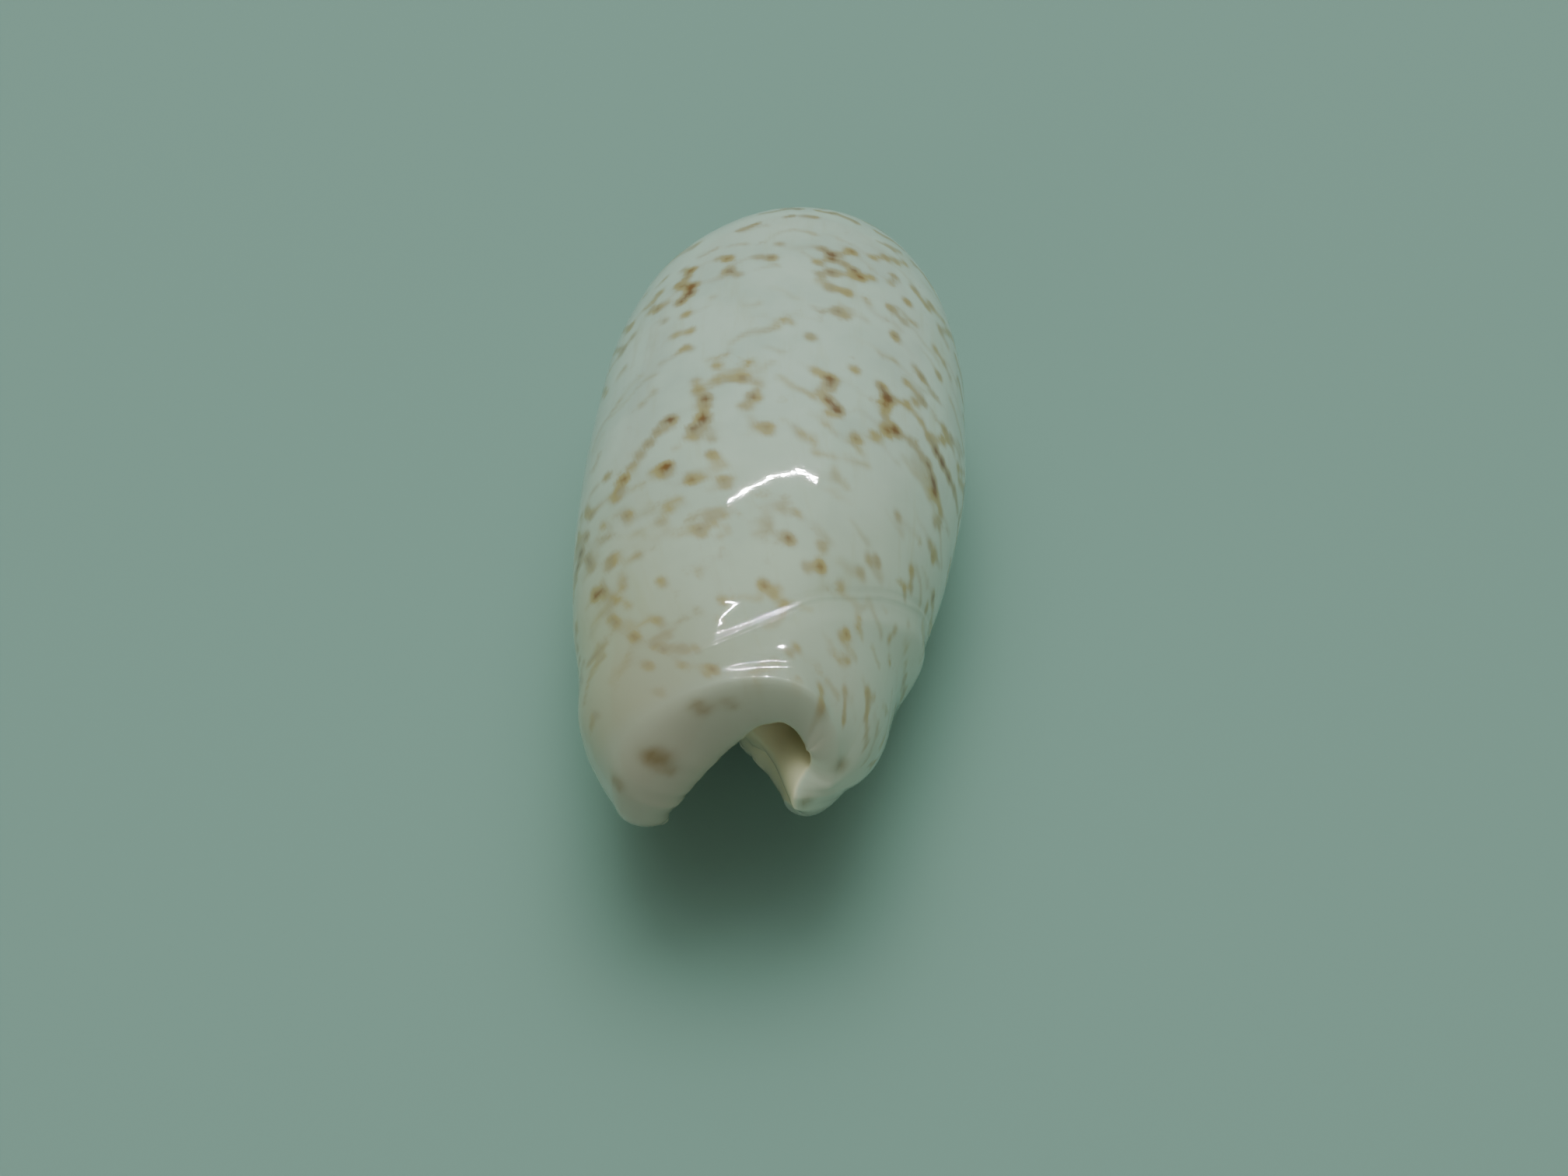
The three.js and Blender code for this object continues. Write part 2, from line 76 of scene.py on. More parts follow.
@dataclass(frozen=True)
class Curve:
    """Smooth curve through a table of numbers, without overshoot."""

    xs: Table
    ys: Table

    def at(self, x: Numbers) -> Array:
        """Value of the curve.

        Args:
            x: Places to read, clamped to the table's ends.

        Returns:
            An array of the shape of x.
        """
        xs = np.array(self.xs, float)
        ys = np.array(self.ys, float)
        step = np.diff(ys) / np.diff(xs)
        before, after = step[:-1], step[1:]
        same_way = before * after > 0
        slope = np.zeros(len(xs))
        slope[1:-1] = np.where(same_way, 2 * before * after / np.where(same_way, before + after, 1), 0)
        slope[0], slope[-1] = 0.5 * step[0], 0.5 * step[-1]
        x = np.clip(np.asarray(x, float), xs[0], xs[-1])
        k = np.clip(np.searchsorted(xs, x, side="left") - 1, 0, len(xs) - 2)
        h = xs[k + 1] - xs[k]
        t = (x - xs[k]) / h
        a, b, rise = slope[k] * h, slope[k + 1] * h, ys[k + 1] - ys[k]
        return ys[k] + t * (a + t * (3 * rise - 2 * a - b + t * (a + b - 2 * rise)))


def ease(low: float, high: float, x: Numbers) -> Array:
    """0 at low and beyond it, 1 at high and beyond it, eased between."""
    t = np.clip((np.asarray(x, float) - low) / (high - low), 0, 1)
    return t * t * (3 - 2 * t)


def window(span: Span, x: Numbers) -> Array:
    """1 in the middle of a span, eased up over its first two numbers and down over its last two."""
    return ease(*span[:2], x) * (1 - ease(*span[2:], x))


def bell(x: Numbers) -> Array:
    """Smooth bump of height 1 and half-width about 1."""
    return np.exp(-np.square(x))


def unit(runs: Array) -> Array:
    """Directions of vectors, with length 1."""
    return runs / np.maximum(np.linalg.norm(runs, axis=-1, keepdims=True), 1e-9)


# Form of the shell

BODY_Y = (-3, 0, 2.5, 4.5, 7, 10, 15, 20, 25, 30, 34.5, 42)
POLE_Y = (-2, 0, 2.5, 4.5, 7, 10, 15, 42)
MARGIN_AT = (0, 0.12, 0.2, 0.3, 0.37, 0.42, 0.5, 0.58, 0.66, 0.8, 1)


@dataclass(frozen=True)
class Ridge:
    """A low rounded ridge that slants over the surface."""

    height: float
    width: float
    turn: float
    y: float
    degrees_per_mm: float
    turns: Span

    def relief(self, turn: Array, y: Array) -> Array:
        """Height of the ridge over points of the surface."""
        away = (y - self.y - (turn - self.turn) / self.degrees_per_mm) / self.width
        return self.height * bell(away) * window(self.turns, turn)


@dataclass(frozen=True)
class ShellForm:
    """Where the surface of the shell runs, by turn and place along the axis."""

    length: float = 42.0
    whorl_ratio: float = 0.62
    suture_drop: float = 5.9
    suture_reach: float = 8.0
    channel_depth: float = 0.3
    channel_width: float = 0.24
    inner_channel: Range = (320, 360)
    attach_length: float = 1.3
    shoulder: Curve = Curve((5.9, 5.98, 6.3, 6.9, 7.7, 8.6, 9.8, 11.5, 13.5, 16, 20, 30),
                            (0, 4.75, 5.15, 5.7, 6.45, 7.3, 8.25, 9.2, 9.9, 10.3, 10.5, 10.5))

    body_lift: Curve = Curve(BODY_Y, (2.6, 2.2, 1.6, 0.9, 0.3, 0, 0, 0, 0, 0, 0, 0))
    body_left: Curve = Curve(BODY_Y, (3.9, 5, 6.35, 7.2, 7.65, 8.4, 9.06, 9.25, 9.15, 8.3, 6, 2))
    body_right: Curve = Curve(BODY_Y, (2.4, 3.6, 4.9, 5.1, 5.4, 6.6, 7.9, 8.6, 8.63, 8, 6.2, 2))
    body_back: Curve = Curve(BODY_Y, (1.9, 3.2, 4.75, 5.4, 6.15, 6.97, 7.54, 7.89, 7.83, 7.16, 5.8, 2))
    body_belly: Curve = Curve(BODY_Y, (1.4, 2.6, 4, 4.8, 5.9, 6.7, 7.35, 7.72, 7.62, 6.85, 5.2, 2))
    lip_belly: Curve = Curve(BODY_Y, (2.4, 3.3, 4.5, 5.4, 6.3, 6.8, 7.35, 7.72, 7.62, 6.85, 5.2, 2))
    lip_belly_width: float = 4.0
    lip_corner: Curve = Curve(BODY_Y, (3, 3, 3, 3, 3, 3, 3, 3.1, 3.1, 3, 2.6, 2))
    body_blend: Range = (6.6, 13)
    halvings: int = 34
    pole_x: Curve = Curve(POLE_Y, (3.0, 2.8, 2.2, 1.6, 1.05, 0.75, 0.6, 0.6))
    pole_z: Curve = Curve(POLE_Y, (2.7, 2.4, 1.6, 0.7, -0.3, -0.95, -1.04, -1.04))

    lip_angle: Curve = Curve((-1, 1, 3, 5, 9, 13, 20, 30, 35, 42),
                             (200, 206, 209.5, 210, 212, 218, 225, 227, 227, 227))
    inner_lip: Curve = Curve((-1, 1, 3, 6, 10, 16, 24, 34.6, 42),
                             (325, 325, 330, 334, 342, 350, 357, 360, 360))
    core: Curve = Curve((-1, 1, 3, 4.5, 6, 8, 10, 13, 16, 20, 25, 30, 34.6, 42),
                        (0.8, 1.2, 1.35, 1.6, 2.4, 3.35, 4.15, 4.75, 5.25, 5.65, 5.75, 5.55, 4.7, 4))
    core_fade: Range = (286, 352)
    cavity_end: Curve = Curve((-1, 1, 1.5, 2, 3, 4.5, 6, 10, 15, 42),
                              (80, 89, 99, 112, 134, 155, 165, 182, 200, 200))
    wall: Curve = Curve((6, 8, 13, 42), (1.6, 1.5, 1.35, 1.3))
    rim_wall: Curve = Curve(
        (0, 6, 11, 16, 21, 28, 36, 44, 52, 60, 68, 76, 84, 92, 100, 112, 125),
        (1.1, 1.73, 2.15, 2.58, 3, 3.57, 3.87, 3.93, 3.83, 3.53, 3.11, 2.65, 2.3, 2.14, 1.95, 2.5, 2.8))
    rim_wall_reach: Range = (2.4, 6.5)
    lip_round: float = 1.25
    end_round: float = 0.25
    gap_opens: float = 2.2
    least_gap: float = 0.05

    fold_first: float = 5.2
    fold_pitch: float = 1.62
    fold_count: int = 6
    fold_height: float = 0.22
    fold_turns: Span = (318, 336, 396, 430)

    band_line: Curve = Curve((0, 30, 60, 101, 117, 133, 147, 160, 172, 190, 240, 290, 345),
                             (3.4, 3.0, 3.6, 5.2, 6.1, 7.35, 8.1, 8.9, 9.5, 10.3, 11.4, 12.5, 13.6))
    band_swell: float = 0.22
    band_reach: Span = (0.1, 1.2, 3, 8)
    band_turns: Span = (60, 130, 300, 345)
    groove_depth: float = 0.035
    groove_width: float = 0.11
    groove_gap: float = 0.34
    groove_turns: Span = (70, 100, 300, 345)
    brow: Ridge = Ridge(0.05, 0.22, 105, 3.85, 60, (84, 98, 112, 126))
    crease: Ridge = Ridge(0.022, 0.4, 100, 6.25, 28, (76, 90, 106, 116))

    rim_outside: Curve = Curve(
        (0, 0.02, 0.05, 0.098, 0.151, 0.215, 0.278, 0.331, 0.374, 0.427, 0.491, 0.576, 0.682, 0.788, 0.894,
         1),
        (2.25, 1.4, 0.9, 1.2, 1.9, 2.6, 3, 3.1, 2.9, 2.3, 1.7, 1.3, 1.5, 2.3, 2.5, 2.1))
    rim_inside: Curve = Curve(
        (0, 0.03, 0.06, 0.1, 0.215, 0.26, 0.38, 0.47, 0.55, 0.655, 0.75, 0.85, 0.95, 1, 2, 2.05, 2.22, 2.4,
         2.62, 2.8, 3),
        (2.25, 1.6, 1.25, 1.1, 1.15, 1.45, 1.9, 2.3, 2.4, 2.4, 2.5, 2.5, 2.2, 1.95, 1.6, 1.3, 0.8, 0.5,
         0.45, 1, 2.1))
    rim_outside_pull: Curve = Curve(MARGIN_AT, (0.5, 0.5, 0.4, 0.2, 0.13, 0.16, 0.3, 0.3, 0.3, 0.3, 0.3))
    rim_inside_pull: Curve = Curve(MARGIN_AT, (0.5, 0.5, 0.4, 0.28, 0.22, 0.25, 0.26, 0.18, 0.1, 0.1, 0.2))
    rim_forward: Curve = Curve(MARGIN_AT, (1, 0.8, 0.6, 1.2, 1.5, 1.2, 0.6, 0.4, 0.4, 0.4, 0.6))
    round_depth: Curve = Curve((0, 0.03, 0.1, 0.2, 0.28, 0.36, 0.42, 0.5, 0.6, 0.8, 1),
                               (0, 0.1, 0.2, 0.2, 0, 0, 0.7, 1.2, 1.2, 0.9, 0))
    round_reach: float = 3.5

    def scale_at(self, turn: Numbers) -> Array:
        """Size of the whorl at a turn, against the youngest."""
        return self.whorl_ratio ** (np.asarray(turn, float) / FULL_TURN)

    def body_radius(self, y: Array, angle: Array) -> Array:
        """Distance from the pole to the body's outline.

        Args:
            y: Places along the axis.
            angle: Directions round the pole, in degrees.

        Returns:
            The distances, found by halving an interval.
        """
        y, angle = np.broadcast_arrays(np.asarray(y, float), np.asarray(angle, float))
        pole_x, pole_z = self.pole_x.at(y), self.pole_z.at(y) - self.body_lift.at(y)
        left, right, back, belly, lip_belly, corner = (
            curve.at(y) for curve in (self.body_left, self.body_right, self.body_back, self.body_belly,
                                      self.lip_belly, self.lip_corner))
        dx, dz = np.cos(np.radians(angle)), np.sin(np.radians(angle))
        inner, outer = np.zeros_like(y), 2 * (left + right)
        for _ in range(self.halvings):
            r = (inner + outer) / 2
            x, z = pole_x + r * dx, pole_z + r * dz
            under_lip = np.where(z < 0, ease(0, self.lip_belly_width, -x), 0)
            power = 2 + (corner - 2) * under_lip
            depth = np.where(z < 0, belly + (lip_belly - belly) * under_lip, back)
            level = np.abs(x / np.where(x < 0, left, right)) ** power + np.abs(z / depth) ** power
            inner = np.where(level < 1, r, inner)
            outer = np.where(level < 1, outer, r)
        return outer

    def lifted(self, drop: Numbers, at_suture: Numbers, scale: Numbers) -> Array:
        """Distance from the apex, stretched near the suture so that each whorl fits the one before."""
        return drop * (1 + (1 / scale - 1) * np.exp(-(drop - at_suture) / self.suture_reach))

    def coil_radius(self, turn: Numbers, drop: Array) -> Array:
        """Radius of the coil before the channel is cut. The suture lies on the whorl before.

        Args:
            turn: Turns of the points.
            drop: Distances from the apex.

        Returns:
            The radii.
        """
        behind = self.lifted(self.suture_drop, self.suture_drop * self.whorl_ratio, self.whorl_ratio)
        suture = self.whorl_ratio * float(self.shoulder.at(behind))
        shoulder = Curve(self.shoulder.xs, (suture, *self.shoulder.ys[1:]))
        scale = self.scale_at(turn)
        lifted = self.lifted(drop, self.suture_drop * scale, scale)
        return scale * np.where(lifted <= self.suture_drop + 1e-9, suture, shoulder.at(lifted))

    def channel(self, drop: Array) -> Array:
        """Depth of the channel along a suture, for distances from the apex at the whorl's size."""
        return self.channel_depth * bell((drop - self.suture_drop) / self.channel_width)

    def folds(self, turn: Array, y: Array) -> Array:
        """Relief of the folds on the columella, where k counts the folds."""
        k = np.clip((y - self.fold_first) / self.fold_pitch, -0.5, self.fold_count - 0.5)
        return self.fold_height * window(self.fold_turns, turn) * 0.5 * (1 + np.cos(2 * np.pi * k))

    def band(self, turn: Array, y: Array) -> Array:
        """Relief of the front end: the swollen band, two fine grooves at its border, brow and crease.

        Args:
            turn: Turns of the points.
            y: Places along the axis.

        Returns:
            Heights above the plain body.
        """
        ahead = self.band_line.at(turn) - y
        swell = self.band_swell * window(self.band_turns, turn) * window(self.band_reach, ahead)
        grooves = bell(ahead / self.groove_width) + bell((ahead + self.groove_gap) / self.groove_width)
        cut = self.groove_depth * window(self.groove_turns, turn) * grooves
        return swell - cut + self.brow.relief(turn, y) + self.crease.relief(turn, y)

    def round_over(self, turn: Array, y: Array) -> Array:
        """How far the outside bends in near the front margin."""
        behind = np.clip((y - self.rim_outside.at(turn / self.inner_lip.ys[0])) / self.round_reach, 0, 1)
        return self.round_depth.at(turn / self.inner_lip.ys[0]) * (1 - behind) ** 2

    def outside_radius(self, turn: Numbers, y: Array) -> Array:
        """Outside line: distance from the pole.

        Args:
            turn: Turns of the points; past a full turn it is the core.
            y: Places along the axis.

        Returns:
            The distances.
        """
        turn, y = np.broadcast_arrays(np.asarray(turn, float), np.asarray(y, float))
        drop = self.length - y
        scale = self.scale_at(turn)
        core = self.core.at(y) * self.scale_at(turn - FULL_TURN)
        body = self.body_radius(y, self.lip_angle.at(y) - turn)
        body = body + (core - body) * ease(*self.core_fade, turn)
        to_body = ease(*self.body_blend, drop)
        r = self.coil_radius(turn, drop) * (1 - to_body) + (body + self.band(turn, y)) * to_body
        r = r - scale * self.channel(drop / scale) - ease(*self.inner_channel, turn) * self.channel(drop)
        return r + self.folds(turn, y) - self.round_over(turn, y)

    def inside_radius(self, turn: Array, y: Array) -> Array:
        """Inside line on the outer wall's side: distance from the pole.

        Args:
            turn: Turns of the points.
            y: Places along the axis.

        Returns:
            The distances, a wall's thickness in from the outside line.
        """
        wall = self.wall.at(y)
        wall = wall + (self.rim_wall.at(turn) - wall) * (1 - ease(*self.rim_wall_reach, y))
        core = self.outside_radius(turn + FULL_TURN, y)
        gap = np.maximum(self.least_gap, self.outside_radius(turn, y) - wall - core)
        return core + gap * ease(0, self.gap_opens, self.length - self.suture_drop - self.attach_length - y)

    def place(self, angle: Numbers, radius: Numbers, y: Numbers) -> Array:
        """Points given round the pole.

        Args:
            angle: Directions in degrees.
            radius: Distances from the pole.
            y: Places along the axis.

        Returns:
            An array with x, y, z last.
        """
        x = self.pole_x.at(y) + radius * np.cos(np.radians(angle))
        z = self.pole_z.at(y) + radius * np.sin(np.radians(angle))
        return np.stack(np.broadcast_arrays(x, np.asarray(y, float), z), axis=-1)


# Marks on the surface

@dataclass(frozen=True)
class Mark:
    """One brown mark: soft spots at (turn, y, strength), joined by fainter lines."""

    spots: tuple[Place, ...]
    width: float = 0.31
    line: float = 0.8
    line_width: float = 0.72


def listed(*runs: tuple[Place, ...]) -> list[Mark]:
    """Marks from runs of spots, with their strengths in hundredths."""
    return [Mark(tuple((turn, y, strength / 100) for turn, y, strength in run)) for run in runs]


@dataclass(frozen=True)
class Stain:
    """A soft brown patch round a point of the shell's own frame."""

    centre: Place
    reach: Place
    strength: float


# Marks of the dark belt behind the middle of the shell
REAR_BELT = listed(
    ((98.5, 27.6, 30), (101.5, 27.1, 70), (101, 26.5, 50), (98.5, 26.2, 45), (100.5, 25.9, 60),
     (103.5, 25.5, 100), (103.3, 25.0, 90), (100.8, 24.6, 70)),
    ((89.5, 25.2, 35), (92.2, 25.0, 60), (95, 25.0, 25)), ((90.8, 26.5, 30),),
    ((110.5, 27.4, 30), (113.7, 27.15, 65)), ((115, 25.95, 65), (118, 25.5, 35)),
    ((124, 26.85, 35), (127.3, 26.7, 65)), ((129.5, 28, 35),),
    ((143, 27.8, 55), (145.8, 27.4, 90), (146.3, 27.0, 60), (150, 26.8, 50), (153, 26.5, 70),
     (155, 26.1, 70)),
    ((148.5, 27.6, 35), (152.5, 28.2, 60)), ((142, 26.5, 35), (145.5, 27, 30)),
    ((142.7, 25.5, 35), (145.5, 25.8, 70)), ((148, 25.9, 30), (152, 26, 35)), ((159, 26.4, 40),),
    ((145.8, 24.6, 40), (150.8, 24.65, 35)), ((157, 24.4, 25),),
    ((160, 28.4, 30), (165, 29.0, 45), (170, 29.3, 45), (174, 29.7, 40)),
    ((168, 27.5, 40), (165.5, 26.7, 25)), ((176.5, 27.6, 50), (178.5, 27.2, 20)), ((172, 25.9, 50),),
    ((182, 26.9, 35), (184, 27.4, 45)), ((165.5, 24.65, 50), (170, 24.2, 30)),
    ((188, 26.1, 50), (194, 26.8, 45), (200, 27.5, 40), (206, 28.4, 35)),
    ((184, 24.1, 35), (189, 23.8, 35), (193, 23.4, 25)),
    ((60, 29.3, 40), (64, 28.4, 45), (72, 26.6, 40), (80, 25.4, 50)),
    ((58, 27, 35), (64, 26.2, 35), (72, 25, 35), (79, 23.9, 50)),
    ((58, 24.5, 35), (66, 23.2, 35), (72.5, 21.6, 35)), ((83, 24.2, 35),),
)

# Marks of the dark belt across the middle
MIDDLE_BELT = listed(
    ((107.5, 18.4, 30), (108, 17.8, 50)),
    ((109.7, 17.2, 75), (109.3, 16.8, 60), (108.2, 16.1, 85), (107.8, 15.8, 50)),
    ((105.3, 15.5, 65), (105.5, 15.1, 45), (109.8, 14.9, 30)),
    ((114, 18.1, 30), (120.5, 18.1, 60), (124.5, 17.8, 30), (124.8, 17.6, 25), (123, 17.0, 70),
     (120.5, 16.5, 35)),
    ((121.5, 15.5, 25), (125.3, 15.2, 60)), ((141, 18.7, 35), (145, 18.4, 80), (144.5, 18.0, 60)),
    ((142, 17.5, 45), (143.8, 17.2, 80), (146, 16.8, 100), (144, 16.5, 40)),
    ((161, 19.0, 60), (163, 18.5, 90), (162, 18.0, 60), (161.7, 17.4, 40), (162.3, 16.8, 60),
     (165, 16.95, 80)),
    ((163, 18.6, 40), (170, 18.75, 40), (176, 18.4, 30), (179.5, 17.9, 50), (183, 17.6, 80),
     (187, 17.4, 95), (192, 17.2, 70), (197.5, 17.1, 50), (204, 16.8, 30)),
    ((165, 17, 30), (171, 16.9, 35), (176, 16.6, 30), (179.5, 16.5, 65), (182.5, 16.0, 80),
     (183.7, 15.6, 85)),
    ((162, 16.6, 30), (157.5, 16.1, 40), (156, 15.9, 20)), ((151.2, 15.55, 60),),
    ((182, 18.1, 30), (187, 18.6, 45), (192, 19.3, 50), (188, 19.3, 45)),
    ((199, 18.5, 40), (203, 18.8, 35), (208, 19.3, 30)), ((188, 14.5, 40), (185, 14.2, 30)),
    ((99, 16.4, 90), (97.5, 16.3, 70), (95, 16.0, 50), (92, 15.6, 45), (88.5, 15.0, 45), (85, 14.5, 40),
     (82.5, 14.2, 75), (81, 13.9, 55), (78.5, 13.4, 40)),
    ((76.5, 15.0, 45),),
)

# Small flecks scattered between the belts and in front of them
SCATTERED = listed(
    ((103, 23.4, 35),), ((96, 23.6, 25),), ((148, 23.1, 50),), ((166.5, 22.8, 60),), ((139.8, 20.9, 45),),
    ((101, 22.1, 30), (105, 22.0, 35)), ((152.5, 19.4, 40),),
    ((174, 21.5, 30), (177, 21.2, 50), (182, 20.8, 25)), ((113.8, 19.1, 35),), ((185.5, 22.4, 35),),
    ((97, 20.4, 18),), ((91, 18.2, 22), (95, 18.6, 22)), ((111, 24.1, 18),),
    ((170, 20.1, 30), (176.5, 19.7, 55), (173.5, 19.3, 40)),
    ((62, 14.3, 40), (66, 14.2, 60), (68, 13.6, 40)), ((61, 12.3, 60), (64, 12.5, 35)),
    ((63.5, 11.2, 70), (64, 10.7, 40)), ((62.8, 9.1, 70), (65.8, 8.9, 65)), ((65, 7.4, 50), (66, 7.1, 50)),
    ((69.5, 5.95, 55),), ((68.5, 4.3, 50),), ((66, 2.9, 30),), ((72.5, 12.4, 30),), ((71.5, 10.1, 45),),
    ((73.7, 9.0, 30), (73, 8.7, 30)), ((72, 7.6, 25),), ((79, 6.3, 45),), ((81, 12.1, 55),),
    ((96, 13.75, 100), (95, 13.4, 45)), ((102, 12.8, 60), (104, 12.9, 30)), ((109, 13.9, 50),),
    ((110.8, 12.4, 55),), ((90, 11.0, 30), (93.5, 11.5, 25)),
    ((100, 10.1, 60), (104, 10.5, 35), (107, 10.8, 40)), ((84.5, 8.1, 40),), ((96, 8.2, 20),),
    ((100.5, 6.8, 35),), ((92, 6.4, 20),), ((97, 5.9, 20),), ((114.5, 7.5, 65), (116.5, 7.2, 35)),
    ((122.5, 9.7, 30), (124.5, 9.7, 70)), ((134.5, 9.7, 40),), ((129, 8.6, 40), (133.5, 8.8, 70)),
    ((141, 8.4, 30),), ((152, 10.1, 30), (155, 10.2, 45)), ((148, 9.3, 20),),
    ((141, 6.0, 30), (143.5, 6.3, 50)), ((149, 7.4, 25),), ((125, 11, 25), (129, 10.9, 20)),
    ((165, 12.8, 35),), ((143, 13.4, 25),), ((138, 14.2, 25), (143, 14.2, 20)),
    ((184, 13, 30), (187, 12.8, 50)), ((195.5, 11.7, 50),), ((191.5, 10.9, 40),),
    ((173.5, 11.1, 45), (174.5, 10.5, 40), (171, 10.2, 25)), ((170, 8.2, 30), (168.5, 7.7, 30)),
    ((178, 9.1, 20),), ((202, 9.8, 30),), ((185, 6.1, 20),),
    ((74, 5.2, 45), (76, 4.9, 50), (82, 4.7, 35), (85, 4.65, 35)), ((84, 3.3, 30), (86.8, 3.5, 65)),
    ((117, 4.4, 35), (120.5, 4.7, 35)), ((78, 3.9, 25),), ((126.7, 2.7, 50), (127.5, 3.3, 35)),
    ((144, 2.9, 45), (143, 3.8, 40)), ((159, 4.5, 40), (163, 3.6, 45), (170, 3.1, 40), (177, 2.8, 35)),
)

# Soft stains on the lobes beside the notch
LOBE_STAINS = (
    Stain((-3.4, 1.0, 4.05), (0.75, 0.7, 0.45), 0.8),
    Stain((-3.0, 0.9, 3.5), (0.4, 0.5, 0.35), 0.6),
    Stain((-4.9, 0.8, 2.7), (0.45, 0.7, 0.45), 0.6),
    Stain((-1.8, 2.2, 5.6), (0.55, 0.5, 0.35), 0.65),
    Stain((-0.7, 2.4, 5.7), (0.45, 0.5, 0.3), 0.55),
    Stain((3.4, 1.8, 2.95), (0.45, 0.5, 0.5), 0.55),
    Stain((2.1, 0.65, 2.1), (0.4, 0.5, 0.5), 0.6),
    Stain((2.7, 2.6, 5.2), (0.3, 0.4, 0.5), 0.4),
)


@dataclass(frozen=True)
class FleckHabit:
    """How the small flecks are strewn: their grid, its looseness, and the looks of one fleck."""

    turns: tuple[float, float, float] = (3, 296, 8)
    rows: tuple[float, float, float] = (3.5, 37.8, 1.45)
    loose_turn: float = 4.0
    loose_y: float = 0.7
    kept: float = 0.6
    strength: Range = (0.2, 0.65)
    tail: float = 0.7
    length: Range = (0.1, 0.8)
    back: Range = (90, 170)
    stretch_off_back: float = 1.5
    ridge_turn: float = 130.0
    slants: Range = (22, -18)
    slant_spread: float = 20.0
    width: Range = (0.22, 0.34)
    line: float = 0.97
    line_width: float = 0.92


@dataclass(frozen=True)
class ZigzagHabit:
    """How the upright zigzags of the belts run."""

    starts: tuple[Range, ...] = ((7, 54), (212, 286))
    spacing: float = 19.0
    loose_turn: float = 5.0
    first: Range = (0, 0.8)
    swing: Range = (0.4, 4.2)
    strength: Range = (0.3, 0.95)
    rise: Range = (0.35, 1.1)
    swaps: float = 0.75
    breaks: float = 0.22
    shift: float = 3.0
    width: float = 0.3
    line: float = 0.93
    line_width: float = 0.88


